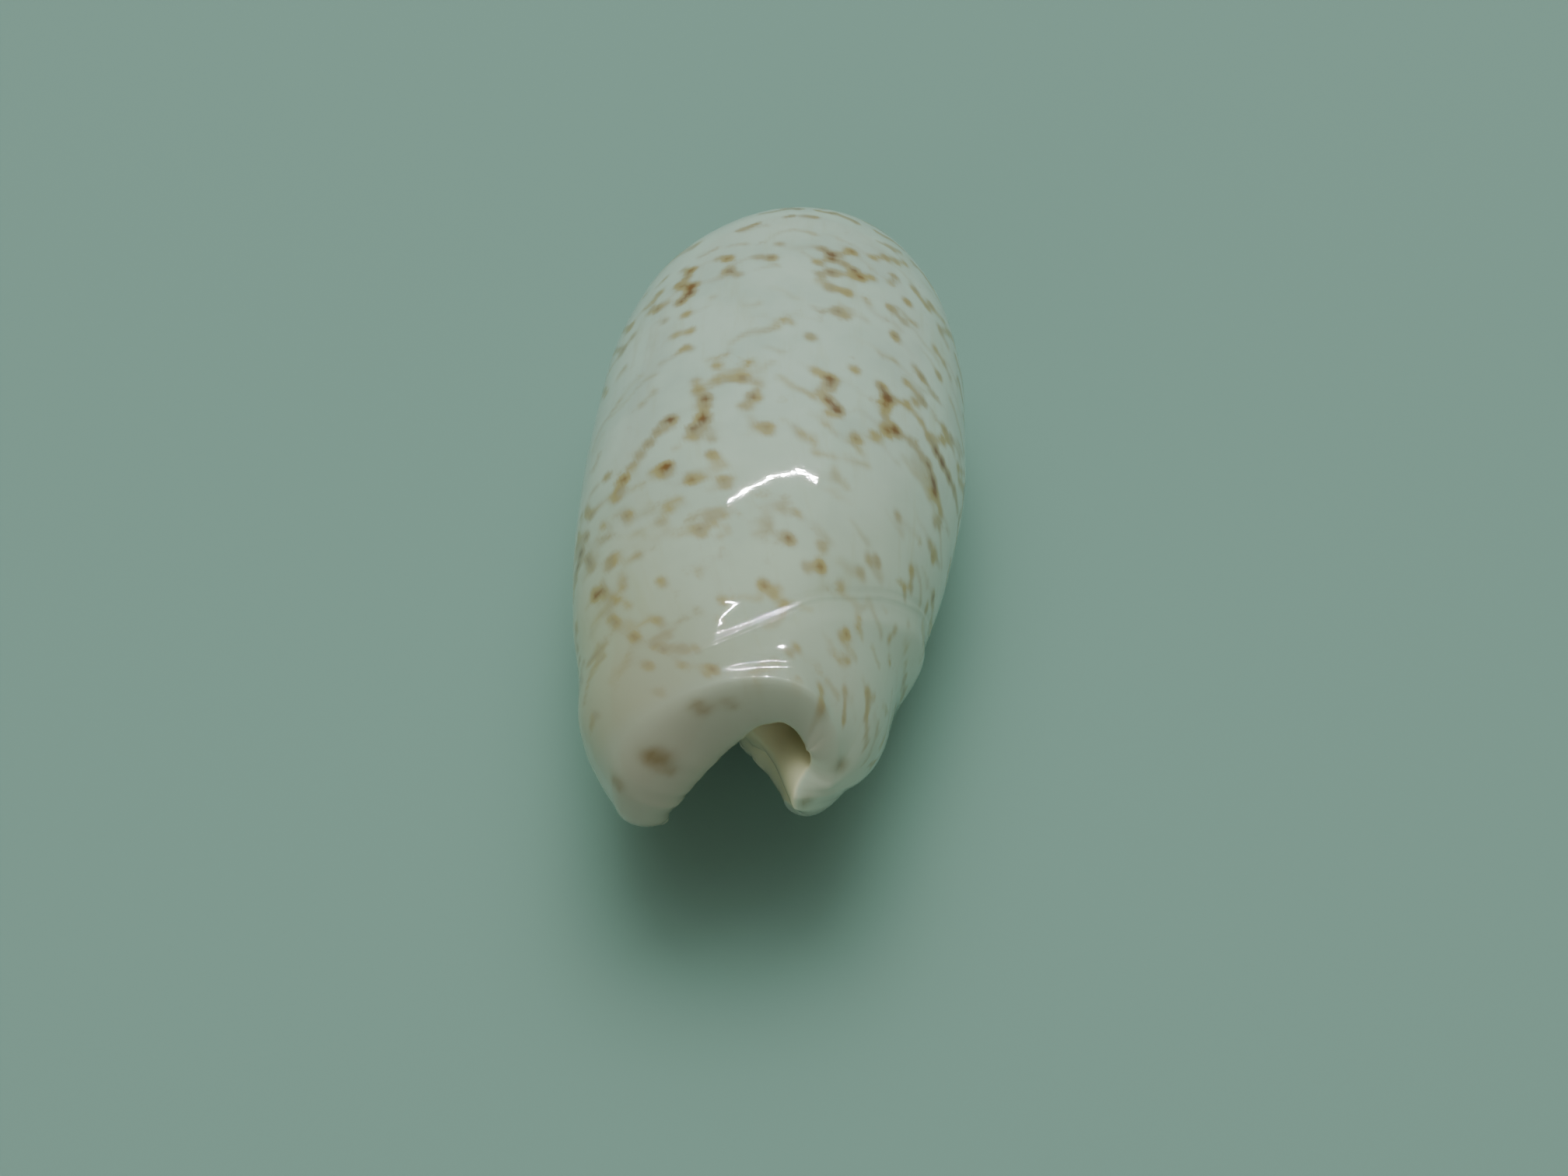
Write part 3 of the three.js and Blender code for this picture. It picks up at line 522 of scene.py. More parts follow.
@dataclass
class Markings:
    """All brown marks: the ones on the back as listed, the rest grown in the same way by a seed."""

    seed: int = 11
    mean_radius: float = 8.4
    belts: tuple[Range, ...] = ((24.6, 28.6), (15.0, 19.4))
    listed_turns: Range = (60.0, 204.0)
    listed_end: float = 30.0
    between: float = 0.42
    reach: float = 3.0
    fleck_habit: FleckHabit = FleckHabit()
    zigzag_habit: ZigzagHabit = ZigzagHabit()
    grown: list[Mark] = field(default_factory=list)

    def grow(self) -> None:
        """Fills the sides, the belly and the shoulder with flecks and zigzags."""
        rng = np.random.default_rng(self.seed)
        zigzag, fleck = self.zigzag_habit, self.fleck_habit
        for low, high in self.belts:
            for start in np.concatenate([np.arange(*ends, zigzag.spacing) for ends in zigzag.starts]):
                self.zigzag(rng, start + rng.uniform(-zigzag.loose_turn, zigzag.loose_turn), low, high)
        for turn in np.arange(*fleck.turns):
            for y in np.arange(*fleck.rows):
                self.fleck(rng, turn + rng.uniform(-fleck.loose_turn, fleck.loose_turn),
                           y + rng.uniform(-fleck.loose_y, fleck.loose_y))

    def fleck(self, rng: np.random.Generator, turn: float, y: float) -> None:
        """Perhaps adds one small slanting fleck.

        Args:
            rng: Source of chance.
            turn: Where it lies.
            y: Where it lies along the axis.
        """
        habit = self.fleck_habit
        chance, strength, length = rng.uniform(), rng.uniform(*habit.strength), rng.uniform(*habit.length)
        if turn < habit.back[0] or turn > habit.back[1]:
            length *= habit.stretch_off_back
        slant = math.radians(rng.normal(habit.slants[int(turn > habit.ridge_turn)], habit.slant_spread))
        if chance > habit.kept:
            return
        if self.listed_turns[0] < turn < self.listed_turns[1] and y < self.listed_end:
            strength *= self.between
        half = math.degrees(length / self.mean_radius)
        rise = length * math.sin(slant)
        spots = ((turn - half, y - rise, strength * habit.tail), (turn + half, y + rise, strength))
        self.grown.append(Mark(spots, rng.uniform(*habit.width), habit.line, habit.line_width))

    def zigzag(self, rng: np.random.Generator, turn: float, low: float, high: float) -> None:
        """Adds one broken upright zigzag through a belt.

        Args:
            rng: Source of chance.
            turn: Where it stands.
            low: Front edge of the belt.
            high: Rear edge of the belt.
        """
        habit = self.zigzag_habit
        y, side, runs = low + rng.uniform(*habit.first), 1.0, [[]]
        while y < high:
            swing = side * rng.uniform(*habit.swing)
            runs[-1].append((turn + swing, y, rng.uniform(*habit.strength)))
            y += rng.uniform(*habit.rise)
            side = -side if rng.uniform() < habit.swaps else side
            if rng.uniform() < habit.breaks:
                runs.append([])
                turn += rng.uniform(-habit.shift, habit.shift)
        self.grown += [Mark(tuple(run), habit.width, habit.line, habit.line_width) for run in runs if run]

    def stray(self, turn: Array, y: Array, far: float) -> tuple[Array, Array]:
        """Moves points to and fro in gentle waves, so that marks painted over them wave.

        Args:
            turn: Turns of the points.
            y: Places along the axis.
            far: How far they move, in millimetres.

        Returns:
            The new turns and places.
        """
        sideways = np.sin(1.9 * y + 0.21 * turn) + 0.6 * np.sin(4.3 * y - 0.13 * turn)
        along = np.sin(0.33 * turn + 1.3 * y) + 0.6 * np.sin(0.71 * turn - 2.1 * y)
        return turn + math.degrees(far / self.mean_radius) * sideways, y + far * along

    def paint(self, marks: list[Mark], turn: Array, y: Array) -> Array:
        """Strength of marks over points of the surface.

        Args:
            marks: The marks.
            turn: Turns of the points.
            y: Places along the axis.

        Returns:
            Strengths from 0 to 1.
        """
        arc = math.radians(self.mean_radius)
        bare = np.ones_like(turn)
        for mark in marks:
            reach = self.reach * mark.width
            ts, vs, strengths = (np.array(column) for column in zip(*mark.spots))
            near = ((turn > ts.min() - reach / arc) & (turn < ts.max() + reach / arc)
                    & (y > vs.min() - reach) & (y < vs.max() + reach))
            if not near.any():
                continue
            t, v = turn[near], y[near]
            best = np.zeros(t.shape)
            for k, strength in enumerate(strengths):
                spot = bell(np.hypot((t - ts[k]) * arc, v - vs[k]) / mark.width)
                best = np.maximum(best, strength * spot)
                if k == 0:
                    continue
                run, rise = (ts[k] - ts[k - 1]) * arc, vs[k] - vs[k - 1]
                along = ((t - ts[k - 1]) * arc * run + (v - vs[k - 1]) * rise) / (run * run + rise * rise)
                along = np.clip(along, 0, 1)
                away = np.hypot((t - ts[k - 1]) * arc - along * run, v - vs[k - 1] - along * rise)
                here = mark.line * (strengths[k - 1] + (strength - strengths[k - 1]) * along)
                best = np.maximum(best, here * bell(away / (mark.line_width * mark.width)))
            bare[near] *= 1 - best
        return 1 - bare

    def stain(self, points: Array) -> Array:
        """Strength of the soft stains on the lobes.

        Args:
            points: Points in the shell's own frame.

        Returns:
            Strengths from 0 to 1.
        """
        bare = np.ones(points.shape[:-1])
        for stain in LOBE_STAINS:
            away = (points - np.array(stain.centre)) / np.array(stain.reach)
            bare *= 1 - stain.strength * bell(np.linalg.norm(away, axis=-1))
        return 1 - bare


# Building the surface

def ended(bm: bmesh.types.BMesh, name: str) -> bpy.types.Mesh:
    """Makes a bmesh a mesh and frees it.

    Args:
        bm: The bmesh.
        name: What the mesh is called.

    Returns:
        The mesh.
    """
    mesh = bpy.data.meshes.new(name)
    bm.to_mesh(mesh)
    bm.free()
    return mesh


def shown(data: bpy.types.ID, name: str) -> bpy.types.Object:
    """Puts a new object into the scene.

    Args:
        data: Its mesh, lamp or camera.
        name: What the object is called.

    Returns:
        The object.
    """
    made = bpy.data.objects.new(name, data)
    bpy.context.scene.collection.objects.link(made)
    return made


def rows_toward(start: Numbers, end: Array, count: int, crowd: float = 0.0, both: float = 0.0) -> Array:
    """Rows from one line to another, without the first.

    Args:
        start: The first line.
        end: The last line.
        count: How many rows there are.
        crowd: How much they crowd toward the last line.
        both: How much they crowd toward both lines.

    Returns:
        The rows, one below the other.
    """
    t = np.linspace(0, 1, count + 1)[1:, None]
    return start + (end - start) * (t + t * (1 - t) * (crowd - both * (1 - 2 * t)))


class Paint(Enum):
    """What is painted on the surface for its material to read."""

    FLECKS = "flecks"
    STAINS = "stains"
    # Rim: the margin's own bluish grey together with painted shade, thickest in the middle of the rolled
    # margin and toward the front-left.
    RIM_TINT_AND_SHADE = "rim"
    CALLUS = "callus"
    # Face: the columella's own olive-cream tint by the notch, made pale as painted light that stands in for
    # light from below.
    FACE = "face"
    HOLLOW = "hollow"
    SPIRE = "spire"
    BAND = "band"


@dataclass
class Patch:
    """A rectangular sheet of surface points with what is painted on them."""

    points: Array
    turn: Array
    along: Array
    paint: dict[Paint, Array]
    stride: int = 1


@dataclass(frozen=True)
class Reaches:
    """How far the paint reaches, in turns, in shares of the way to the cavity's end, or in millimetres.

    A share or a crest is a base and what is added to it.
    """

    marks_from_lip: Range = (0, 2)
    marks_from_suture: Range = (0.1, 0.5)
    callus_turns: Range = (18, 62)
    callus_inside: Range = (0, 0.16)
    band_edge: Range = (-0.3, 0.5)
    band_shift: float = 1.2
    band_shift_turns: Range = (150, 110)
    # The rim paint is partly the margin's own bluish grey and partly painted shade: its share grows toward
    # the front-left and is highest in the middle of the rolled margin.
    rim: Range = (0, 6)
    rim_and_shade_share: Range = (0.25, 0.3)
    left_shade_turns: Range = (60, 110)
    rim_inside: float = 0.55
    roll_tint_and_shade: Range = (0.2, 0.14)
    roll_tint_and_shade_end: Range = (0.42, 0.5)
    # Where the face's pale tint reaches; its paleness is partly painted light that brightens the shaded
    # notch.
    face_share: float = 0.8
    face_margin: Range = (3, 6)
    face_turns: Range = (0, 26)
    face_margin_inside: Range = (3, 9)
    face_from_lip: Range = (0.25, 0.6)
    face_from_core: Range = (0.02, 0.1)
    face_over_rim: Range = (0.8, 1)
    stains_over_rim: Range = (0.7, 1)
    hollow_margin: Range = (3, 10)
    hollow_from_lip: Range = (0.1, 0.4)
    hollow_from_core: Range = (0.06, 0.4)
    core_blend: float = 4.0


@dataclass(frozen=True)
class SpireBars:
    """How the short bars below the spire's sutures are strewn."""

    first: float = 362.0
    spacing: float = 19.0
    loose_turn: float = 5.0
    width: Range = (2.5, 5)
    reach: Range = (0.35, 0.8)
    strength: Range = (0.35, 0.8)
    slant: float = 10.0
    fade: float = 0.3
    from_suture: Range = (0.02, 0.12)


@dataclass
class OliveShell:
    """The whole shell as one closed mesh."""

    form: ShellForm = field(default_factory=ShellForm)
    markings: Markings = field(default_factory=Markings)
    reaches: Reaches = Reaches()
    bars: SpireBars = SpireBars()
    columns: int = 312
    lip_columns: int = 18
    end_columns: int = 18
    spire_turns: int = 4
    shoulder_steps: Table = (0, 0.025, 0.06, 0.11, 0.18, 0.28, 0.4, 0.54, 0.68, 0.8, 0.89, 0.95, 0.98, 1)
    attach_rows: int = 6
    level_rows: int = 84
    guide_rows: int = 36
    front_rows: int = 40
    rim_rows: int = 10
    level_end: float = 16.5
    guide_turns: float = 345.0
    guide_clear: float = 0.9
    band_crowding: float = 0.45
    stray: float = 0.09
    tip_inset: float = 0.12
    tip_ring: float = 1.5
    rest_pitch: float = math.radians(-0.4)
    weld: float = 2e-6

    @property
    def steps(self) -> int:
        """Rows of the mesh from one suture to the next."""
        return len(self.shoulder_steps) - 1

    @property
    def half(self) -> float:
        """Column at the end of the cavity, half way along the inside line."""
        return self.columns / 2

    def turn_of(self, i: Array) -> Array:
        """Share of the way round for a column, 0 on the lip's edge."""
        return np.maximum(0, i - self.lip_columns) / (self.columns - self.lip_columns)

    def stage_of(self, i: Array) -> Array:
        """Stage of the inside line for a column.

        Args:
            i: Columns.

        Returns:
            0 to 1 along the outer wall, 1 to 2 round the end of the cavity, 2 to 3 along the core.
        """
        straight = self.half - self.end_columns
        wall = np.maximum(0, i - self.lip_columns) / (straight - self.lip_columns)
        end = 1 + (i - straight) / (2 * self.end_columns)
        core = 2 + (i - self.half - self.end_columns) / straight
        return np.where(i < straight, wall, np.where(i < self.half + self.end_columns, end, core))

    def round_lip(self, i: Array, y: Array, side: int) -> Array:
        """Points on the lip's rounded edge.

        Args:
            i: Columns, 0 in the middle of the edge.
            y: Places along the axis.
            side: 1 for the outer half, -1 for the inner half.

        Returns:
            The points.
        """
        form = self.form
        outer, inner = form.outside_radius(0.0, y), form.inside_radius(np.zeros_like(y), y)
        middle, half = (outer + inner) / 2, (outer - inner) / 2
        t = np.clip(i / self.lip_columns, 0, 1) * np.pi / 2
        angle = form.lip_angle.at(y) + np.degrees(form.lip_round * half * np.cos(t) / middle)
        return form.place(angle, middle + side * half * np.sin(t), y)

    def outside(self, i: Array, y: Array) -> tuple[Array, Array]:
        """Points of the outside line.

        Args:
            i: Columns.
            y: Places along the axis.

        Returns:
            The points and their turns.
        """
        form = self.form
        turn = self.turn_of(i) * form.inner_lip.at(y)
        points = form.place(form.lip_angle.at(y) - turn, form.outside_radius(turn, y), y)
        on_lip = (i < self.lip_columns)[..., None]
        return np.where(on_lip, self.round_lip(i, y, 1), points), turn

    def inside(self, i: Array, y: Array) -> Array:
        """Points of the inside line: lip edge, outer wall, end of the cavity, core, inner lip.

        Args:
            i: Columns.
            y: Places along the axis.

        Returns:
            The points.
        """
        form = self.form
        angle, end, stage = form.lip_angle.at(y), form.cavity_end.at(y), self.stage_of(i)
        wall_turn = np.clip(stage, 0, 1) * end
        wall = form.place(angle - wall_turn, form.inside_radius(wall_turn, y), y)
        core_turn = end + np.clip(stage - 2, 0, 1) * (form.inner_lip.at(y) - FULL_TURN - end)
        core = form.place(angle - core_turn, form.outside_radius(core_turn + FULL_TURN, y), y)
        outer, inner = form.inside_radius(end, y), form.outside_radius(end + FULL_TURN, y)
        t = (1.5 - np.clip(stage, 1, 2)) * np.pi
        gap = (outer - inner) / 2
        turned = np.degrees(form.end_round * gap * np.cos(t) / inner)
        cap = form.place(angle - end - turned, (outer + inner) / 2 + gap * np.sin(t), y)
        points = np.where((stage <= 1)[..., None], wall, np.where((stage < 2)[..., None], cap, core))
        return np.where((i < self.lip_columns)[..., None], self.round_lip(i, y, -1), points)

    def spire_row(self, k: int, turn: Array) -> tuple[Array, Array]:
        """One row round the spire, following the suture.

        Args:
            k: Number of the row, counted back from the body whorl's suture.
            turn: Turns of the points.

        Returns:
            The points and their places along the axis.
        """
        form, ratio = self.form, self.form.whorl_ratio
        whorl, back = divmod(k, self.steps)
        part = self.shoulder_steps[self.steps - back]
        drop = form.suture_drop * ratio ** whorl * (ratio + (1 - ratio) * part) * form.scale_at(turn)
        scale = form.scale_at(turn + FULL_TURN * (whorl + 1))
        full, before = drop / scale, drop / scale * ratio
        channel = form.channel(full) + form.channel(before) / ratio
        radius = form.coil_radius(np.full_like(turn, FULL_TURN, float), before) / ratio
        y = form.length - drop
        return form.place(form.lip_angle.at(y) - turn, scale * (radius - channel), y), y

    def spire_patches(self) -> list[Patch]:
        """The whorls of the spire.

        Returns:
            One sheet for each whorl, from suture to suture.
        """
        steps = self.steps
        turn = self.turn_of(np.arange(self.columns + 1)) * FULL_TURN
        patches = []
        for whorl in range(self.spire_turns):
            rows = [self.spire_row(k, turn) for k in range(steps * (whorl + 1), steps * whorl - 1, -1)]
            points, along = (np.array(column) for column in zip(*rows))
            turns = np.tile(turn + FULL_TURN * (whorl + 1), (len(rows), 1))
            part = np.broadcast_to(np.array(self.shoulder_steps)[:, None], along.shape)
            paint = {Paint.FLECKS: self.spire_flecks(turns, part), Paint.SPIRE: np.ones_like(along)}
            patches.append(Patch(points, turns, along, paint))
        return patches

    def spire_flecks(self, turn: Array, part: Array) -> Array:
        """Short bars below the sutures of the spire.

        Args:
            turn: Turns of the points, counted on from the body whorl.
            part: Place between the suture behind (0) and the one in front (1).

        Returns:
            Strengths from 0 to 1.
        """
        bars = self.bars
        rng = np.random.default_rng(self.markings.seed + 1)
        result = np.zeros_like(turn)
        for centre in np.arange(bars.first, FULL_TURN * (self.spire_turns + 1), bars.spacing):
            at = centre + rng.uniform(-bars.loose_turn, bars.loose_turn)
            width, reach = rng.uniform(*bars.width), rng.uniform(*bars.reach)
            bar = bell((turn - at + bars.slant * part) / width) * (1 - ease(reach - bars.fade, reach, part))
            result = np.maximum(result, rng.uniform(*bars.strength) * bar * ease(*bars.from_suture, part))
        return result

    def body_levels(self) -> Array:
        """Where the body whorl's rows in front of the suture run.

        Returns:
            Places along the axis, by row and column.
        """
        form, share = self.form, self.turn_of(np.arange(self.columns + 1))
        attach = np.full(share.shape, form.length - form.suture_drop)
        free, level = attach - form.attach_length, np.full(share.shape, self.level_end)
        rim = form.rim_outside.at(share)
        guide = np.maximum(form.band_line.at(share * self.guide_turns), rim + self.guide_clear)
        return np.concatenate([rows_toward(attach, free, self.attach_rows),
                               rows_toward(free, level, self.level_rows),
                               rows_toward(level, guide, self.guide_rows, crowd=self.band_crowding),
                               rows_toward(guide, rim, self.front_rows, both=self.band_crowding)])

    def inside_levels(self, levels: Array, i: Array) -> Array:
        """Rows of the inside: they meet the outside's rows at the lip and the inner lip.

        Args:
            levels: The outside's rows.
            i: Columns.

        Returns:
            Places along the axis, of the same shape.
        """
        share = i / self.columns
        ends = levels[:, :1] * (1 - share) + levels[:, -1:] * share
        rim = self.form.rim_inside.at(self.stage_of(i))
        bend = rim - (rim[0] * (1 - share) + rim[-1] * share)
        weight = ease(0, 1, (self.level_end - ends) / (self.level_end - ends[-1:]))
        return ends + bend * weight ** 2

    def body_patches(self) -> list[Patch]:
        """The last whorl.

        Returns:
            Its outside, its rim and its inside.
        """
        form, i = self.form, np.arange(self.columns + 1)
        turn = self.turn_of(i) * FULL_TURN
        first, first_y = self.spire_row(0, turn)
        low = form.suture_drop * form.scale_at(turn)
        part = np.array(self.shoulder_steps[1:])[:, None]
        shoulder_y = form.length - (low + (form.suture_drop - low) * part)
        shoulder = form.place(form.lip_angle.at(shoulder_y) - turn, form.outside_radius(turn, shoulder_y),
                              shoulder_y)
        levels = self.body_levels()
        outer, outer_turn = self.outside(np.broadcast_to(i, levels.shape), levels)
        fused = slice(0, self.attach_rows)
        outer[fused] = self.fused_lip(i, levels[fused], outer[fused])
        outside = Patch(np.concatenate([first[None], shoulder, outer]),
                        np.concatenate([np.tile(turn, (self.steps + 1, 1)), outer_turn]),
                        np.concatenate([first_y[None], shoulder_y, levels]), {})
        self.paint_outside(outside, i)

        seam = self.attach_rows - 1
        inner_y = self.inside_levels(levels[seam:], i)
        columns = np.broadcast_to(i, inner_y.shape).astype(float)
        inner = self.inside(columns, inner_y)
        inner[0] = inner[0][np.maximum(i, self.columns - i)]
        inner[1:, [0, -1]] = outer[seam + 1:, [0, -1]]
        inside = Patch(inner, columns, inner_y, {}, 2)
        self.paint_inside(inside, i)
        return [outside, self.rim_patch(outside, inside, i), inside]

    def fused_lip(self, i: Array, y: Array, points: Array) -> Array:
        """Bends the lip's edge down to the whorl before, where the lip is still fused to it.

        Args:
            i: Columns.
            y: Places along the axis.
            points: Points of the outside line.

        Returns:
            The points, with those on the lip's edge bent down.
        """
        form = self.form
        foot, crest = form.outside_radius(FULL_TURN, y), form.outside_radius(0.0, y)
        t = np.clip(i / self.lip_columns, 0, 1) * np.pi / 2
        edge = form.place(form.lip_angle.at(y), foot + (crest - foot) * np.sin(t), y)
        return np.where((i < self.lip_columns)[:, None], edge, points)

    def rim_patch(self, outside: Patch, inside: Patch, i: Array) -> Patch:
        """Rounds the wall over along the front margin.

        Args:
            outside: The outside of the last whorl.
            inside: Its inside.
            i: Columns.

        Returns:
            The sheet between the last rows of the two.
        """
        form, far = self.form, self.reaches
        a, d = outside.points[-1], inside.points[-1]
        at = i / self.columns
        forward = np.zeros_like(a)
        forward[:, 1] = -form.rim_forward.at(at)
        width = np.linalg.norm(a - d, axis=-1, keepdims=True)
        b = a + unit(unit(a - outside.points[-3]) + forward) * width * form.rim_outside_pull.at(at)[:, None]
        c = d + unit(unit(d - inside.points[-3]) + forward) * width * form.rim_inside_pull.at(at)[:, None]
        t = np.linspace(0, 1, self.rim_rows + 1)[:, None, None]
        points = (1 - t) ** 3 * a + 3 * t * (1 - t) ** 2 * b + 3 * t * t * (1 - t) * c + t ** 3 * d
        points[0], points[-1] = a, d
        points[:, 0], points[:, -1] = a[0], a[-1]

        t = t[:, :, 0]
        under = ease(0, 1, t)
        none = np.zeros_like(outside.turn)
        paint = {kind: outside.paint.get(kind, none)[-1] * (1 - under)
                 + inside.paint.get(kind, none)[-1] * under for kind in Paint}
        # Painted shade with the margin's own grey: more rim grey in the middle of the rolled margin, which
        # faces forward.
        crest = far.roll_tint_and_shade[0] + far.roll_tint_and_shade[1] * (1 - ease(*far.roll_tint_and_shade_end, at))
        paint[Paint.RIM_TINT_AND_SHADE] = np.minimum(1, paint[Paint.RIM_TINT_AND_SHADE] + crest * 4 * t * (1 - t))
        # The face's pale tint, partly painted light, comes in only at the roll's inner edge.
        paint[Paint.FACE] = paint[Paint.FACE] * ease(*far.face_over_rim, t)
        paint[Paint.STAINS] = self.markings.stain(points) * (1 - ease(*far.stains_over_rim, t))
        return Patch(points, np.broadcast_to(outside.turn[-1], points.shape[:2]), points[..., 1], paint)

    def paint_outside(self, patch: Patch, i: Array) -> None:
        """Paints marks, stains and tints on the outside of the last whorl.

        Args:
            patch: The outside.
            i: Columns.
        """
        form, far, marks = self.form, self.reaches, self.markings
        turn, y = patch.turn, patch.along
        margin = y - form.rim_outside.at(self.turn_of(i))
        before_inner_lip = form.inner_lip.at(y) - turn
        before_suture = form.length - form.suture_drop * form.scale_at(turn) - y
        callus = 1 - ease(*far.callus_turns, before_inner_lip)
        listed_marks = marks.paint(REAR_BELT + MIDDLE_BELT + SCATTERED, turn, y)
        grown_marks = marks.paint(marks.grown, *marks.stray(turn, y, self.stray))
        flecks = (1 - (1 - listed_marks) * (1 - grown_marks)) * (1 - callus)
        flecks *= ease(*far.marks_from_suture, before_suture) * ease(*far.marks_from_lip, turn)
        band_end = form.band_line.at(turn) - far.band_shift * ease(*far.band_shift_turns, turn)
        # Rim grey near the front margin: partly the margin's own bluish grey, partly painted shade that
        # grows toward the front-left.
        rim = far.rim_and_shade_share[0] + far.rim_and_shade_share[1] * (1 - ease(*far.left_shade_turns, turn))
        # Pale face tint before the inner lip: partly its own tint, partly painted light in the shaded notch.
        face = far.face_share * (1 - ease(*far.face_turns, before_inner_lip))
        patch.paint |= {
            Paint.FLECKS: flecks,
            Paint.STAINS: marks.stain(patch.points),
            Paint.BAND: 1 - ease(*far.band_edge, y - band_end),
            Paint.RIM_TINT_AND_SHADE: rim * (1 - ease(*far.rim, margin)),
            Paint.CALLUS: callus,
            Paint.FACE: face * (1 - ease(*far.face_margin, margin)),
        }

    def paint_inside(self, patch: Patch, i: Array) -> None:
        """Paints the tints of the inside of the last whorl.

        Args:
            patch: The inside.
            i: Columns.
        """
        far, half = self.reaches, self.half
        from_lip, from_core = i / half, (self.columns - i) / half
        margin = patch.along - self.form.rim_inside.at(self.stage_of(i))
        on_core = ease(half - far.core_blend, half + far.core_blend, i)
        # The inside's own orange, deeper away from the lip and the core; its colours are kept pale as
        # painted light for the shaded cavity.
        deep = ease(*far.hollow_from_core, from_core)
        deep = np.where(i < half, ease(*far.hollow_from_lip, from_lip), deep)
        # Pale face tint on the core near the notch: partly its own tint, partly painted light.
        faced = far.face_share + (1 - far.face_share) * ease(*far.face_from_core, from_core)
        faced = np.where(i < half, ease(*far.face_from_lip, from_lip), faced)
        callus = on_core * (1 - ease(*far.callus_inside, from_core))
        patch.paint |= {
            Paint.HOLLOW: deep * ease(*far.hollow_margin, margin),
            # Rim grey inside the front margin: partly the margin's own grey, partly painted shade.
            Paint.RIM_TINT_AND_SHADE: far.rim_inside * (1 - ease(*far.rim, margin)) * (1 - on_core),
            Paint.CALLUS: np.broadcast_to(callus, margin.shape),
            Paint.FACE: faced * (1 - ease(*far.face_margin_inside, margin)),
        }

    def tip(self) -> Array:
        """The point that closes the apex."""
        return self.form.place(0.0, 0.0, self.form.length - self.tip_inset)

    def settle(self, points: Array) -> Array:
        """Tilts points of the shell's own frame to how it lies.

        Args:
            points: Points with x, y, z last.

        Returns:
            The tilted points, in metres.
        """
        c, s = math.cos(self.rest_pitch), math.sin(self.rest_pitch)
        return points @ np.array([[1, 0, 0], [0, c, s], [0, -s, c]]) * MM

    def sheet(self, patch: Patch, shift: Array) -> bpy.types.Mesh:
        """Makes a patch a mesh from a grid whose corners are moved onto the surface.

        Args:
            patch: The surface points.
            shift: Where the shell's own origin goes, in metres.

        Returns:
            A mesh with its paint and its growth coordinates.
        """
        rows, columns = patch.turn.shape
        step = patch.stride
        bm = bmesh.new()
        bmesh.ops.create_grid(bm, x_segments=(columns - 1) // step, y_segments=(rows - 1) // step, size=0.5)
        if step > 1:
            front = -0.5 + 1e-6
            cut = [e for e in bm.edges if e.is_boundary and not all(v.co.y < front for v in e.verts)]
            bmesh.ops.subdivide_edges(bm, edges=cut, cuts=1, use_grid_fill=False)
        mesh = ended(bm, "sheet")
        flat = np.empty(len(mesh.vertices) * 3, np.float32)
        mesh.vertices.foreach_get("co", flat)
        i, j = (np.rint((flat[axis::3] + 0.5) * (count - 1)).astype(int)
                for axis, count in enumerate((columns, rows)))
        placed = self.settle(patch.points[j, i]) + shift
        mesh.vertices.foreach_set("co", placed.astype(np.float32).ravel())
        for kind in Paint:
            layer = mesh.attributes.new(kind.value, "FLOAT", "POINT")
            if kind in patch.paint:
                layer.data.foreach_set("value", patch.paint[kind][j, i].astype(np.float32))
        corner = np.empty(len(mesh.loops), np.int32)
        mesh.loops.foreach_get("vertex_index", corner)
        growth = np.stack([patch.turn[j, i] / FULL_TURN, patch.along[j, i] / self.form.length], axis=-1)
        mesh.uv_layers.new(name=GROWTH).uv.foreach_set("vector", growth[corner].astype(np.float32).ravel())
        return mesh

    def build(self) -> bpy.types.Object:
        """Joins all patches into the shell's one closed mesh.

        Returns:
            The shell, at the CAD node's place.
        """
        self.markings.grow()
        patches = [*self.spire_patches(), *self.body_patches()]
        low, high = (np.array(corner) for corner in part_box("shell"))
        parts = [self.tip().reshape(1, 3), *(patch.points.reshape(-1, 3) for patch in patches)]
        cloud = self.settle(np.concatenate(parts))
        least, most = cloud.min(0), cloud.max(0)
        shift = (low + high) / 2 - (least + most) / 2
        shift[2] = low[2] - least[2]

        bm = bmesh.new()
        for patch in patches:
            sheet = self.sheet(patch, shift)
            bm.from_mesh(sheet)
            bpy.data.meshes.remove(sheet)
        bmesh.ops.remove_doubles(bm, verts=bm.verts, dist=self.weld)
        self.close_apex(bm, Vector(self.settle(self.tip()) + shift))
        bmesh.ops.dissolve_degenerate(bm, edges=bm.edges, dist=self.weld)
        bmesh.ops.recalc_face_normals(bm, faces=bm.faces)
        open_edges = sum(1 for e in bm.edges if len(e.link_faces) != 2)
        log.info("shell: %d faces, %d open edges", len(bm.faces), open_edges)
        shell = shown(ended(bm, "shell_surface"), "shell_surface")
        shell.data.shade_smooth()
        return shell

    def close_apex(self, bm: bmesh.types.BMesh, tip: Vector) -> None:
        """Closes the small ring at the apex with a fan.

        Args:
            bm: The mesh.
            tip: The point that the fan rises to.
        """
        ring = [e for e in bm.edges if e.is_boundary and (e.verts[0].co - tip).length < self.tip_ring * MM]
        made = bmesh.ops.triangle_fill(bm, edges=ring, use_beauty=False)
        faces = [g for g in made["geom"] if isinstance(g, bmesh.types.BMFace)]
        whole = bmesh.ops.dissolve_faces(bm, faces=faces)["region"]
        for vert in bmesh.ops.poke(bm, faces=whole)["verts"]:
            vert.co = tip


# Shader graph in plain expressions

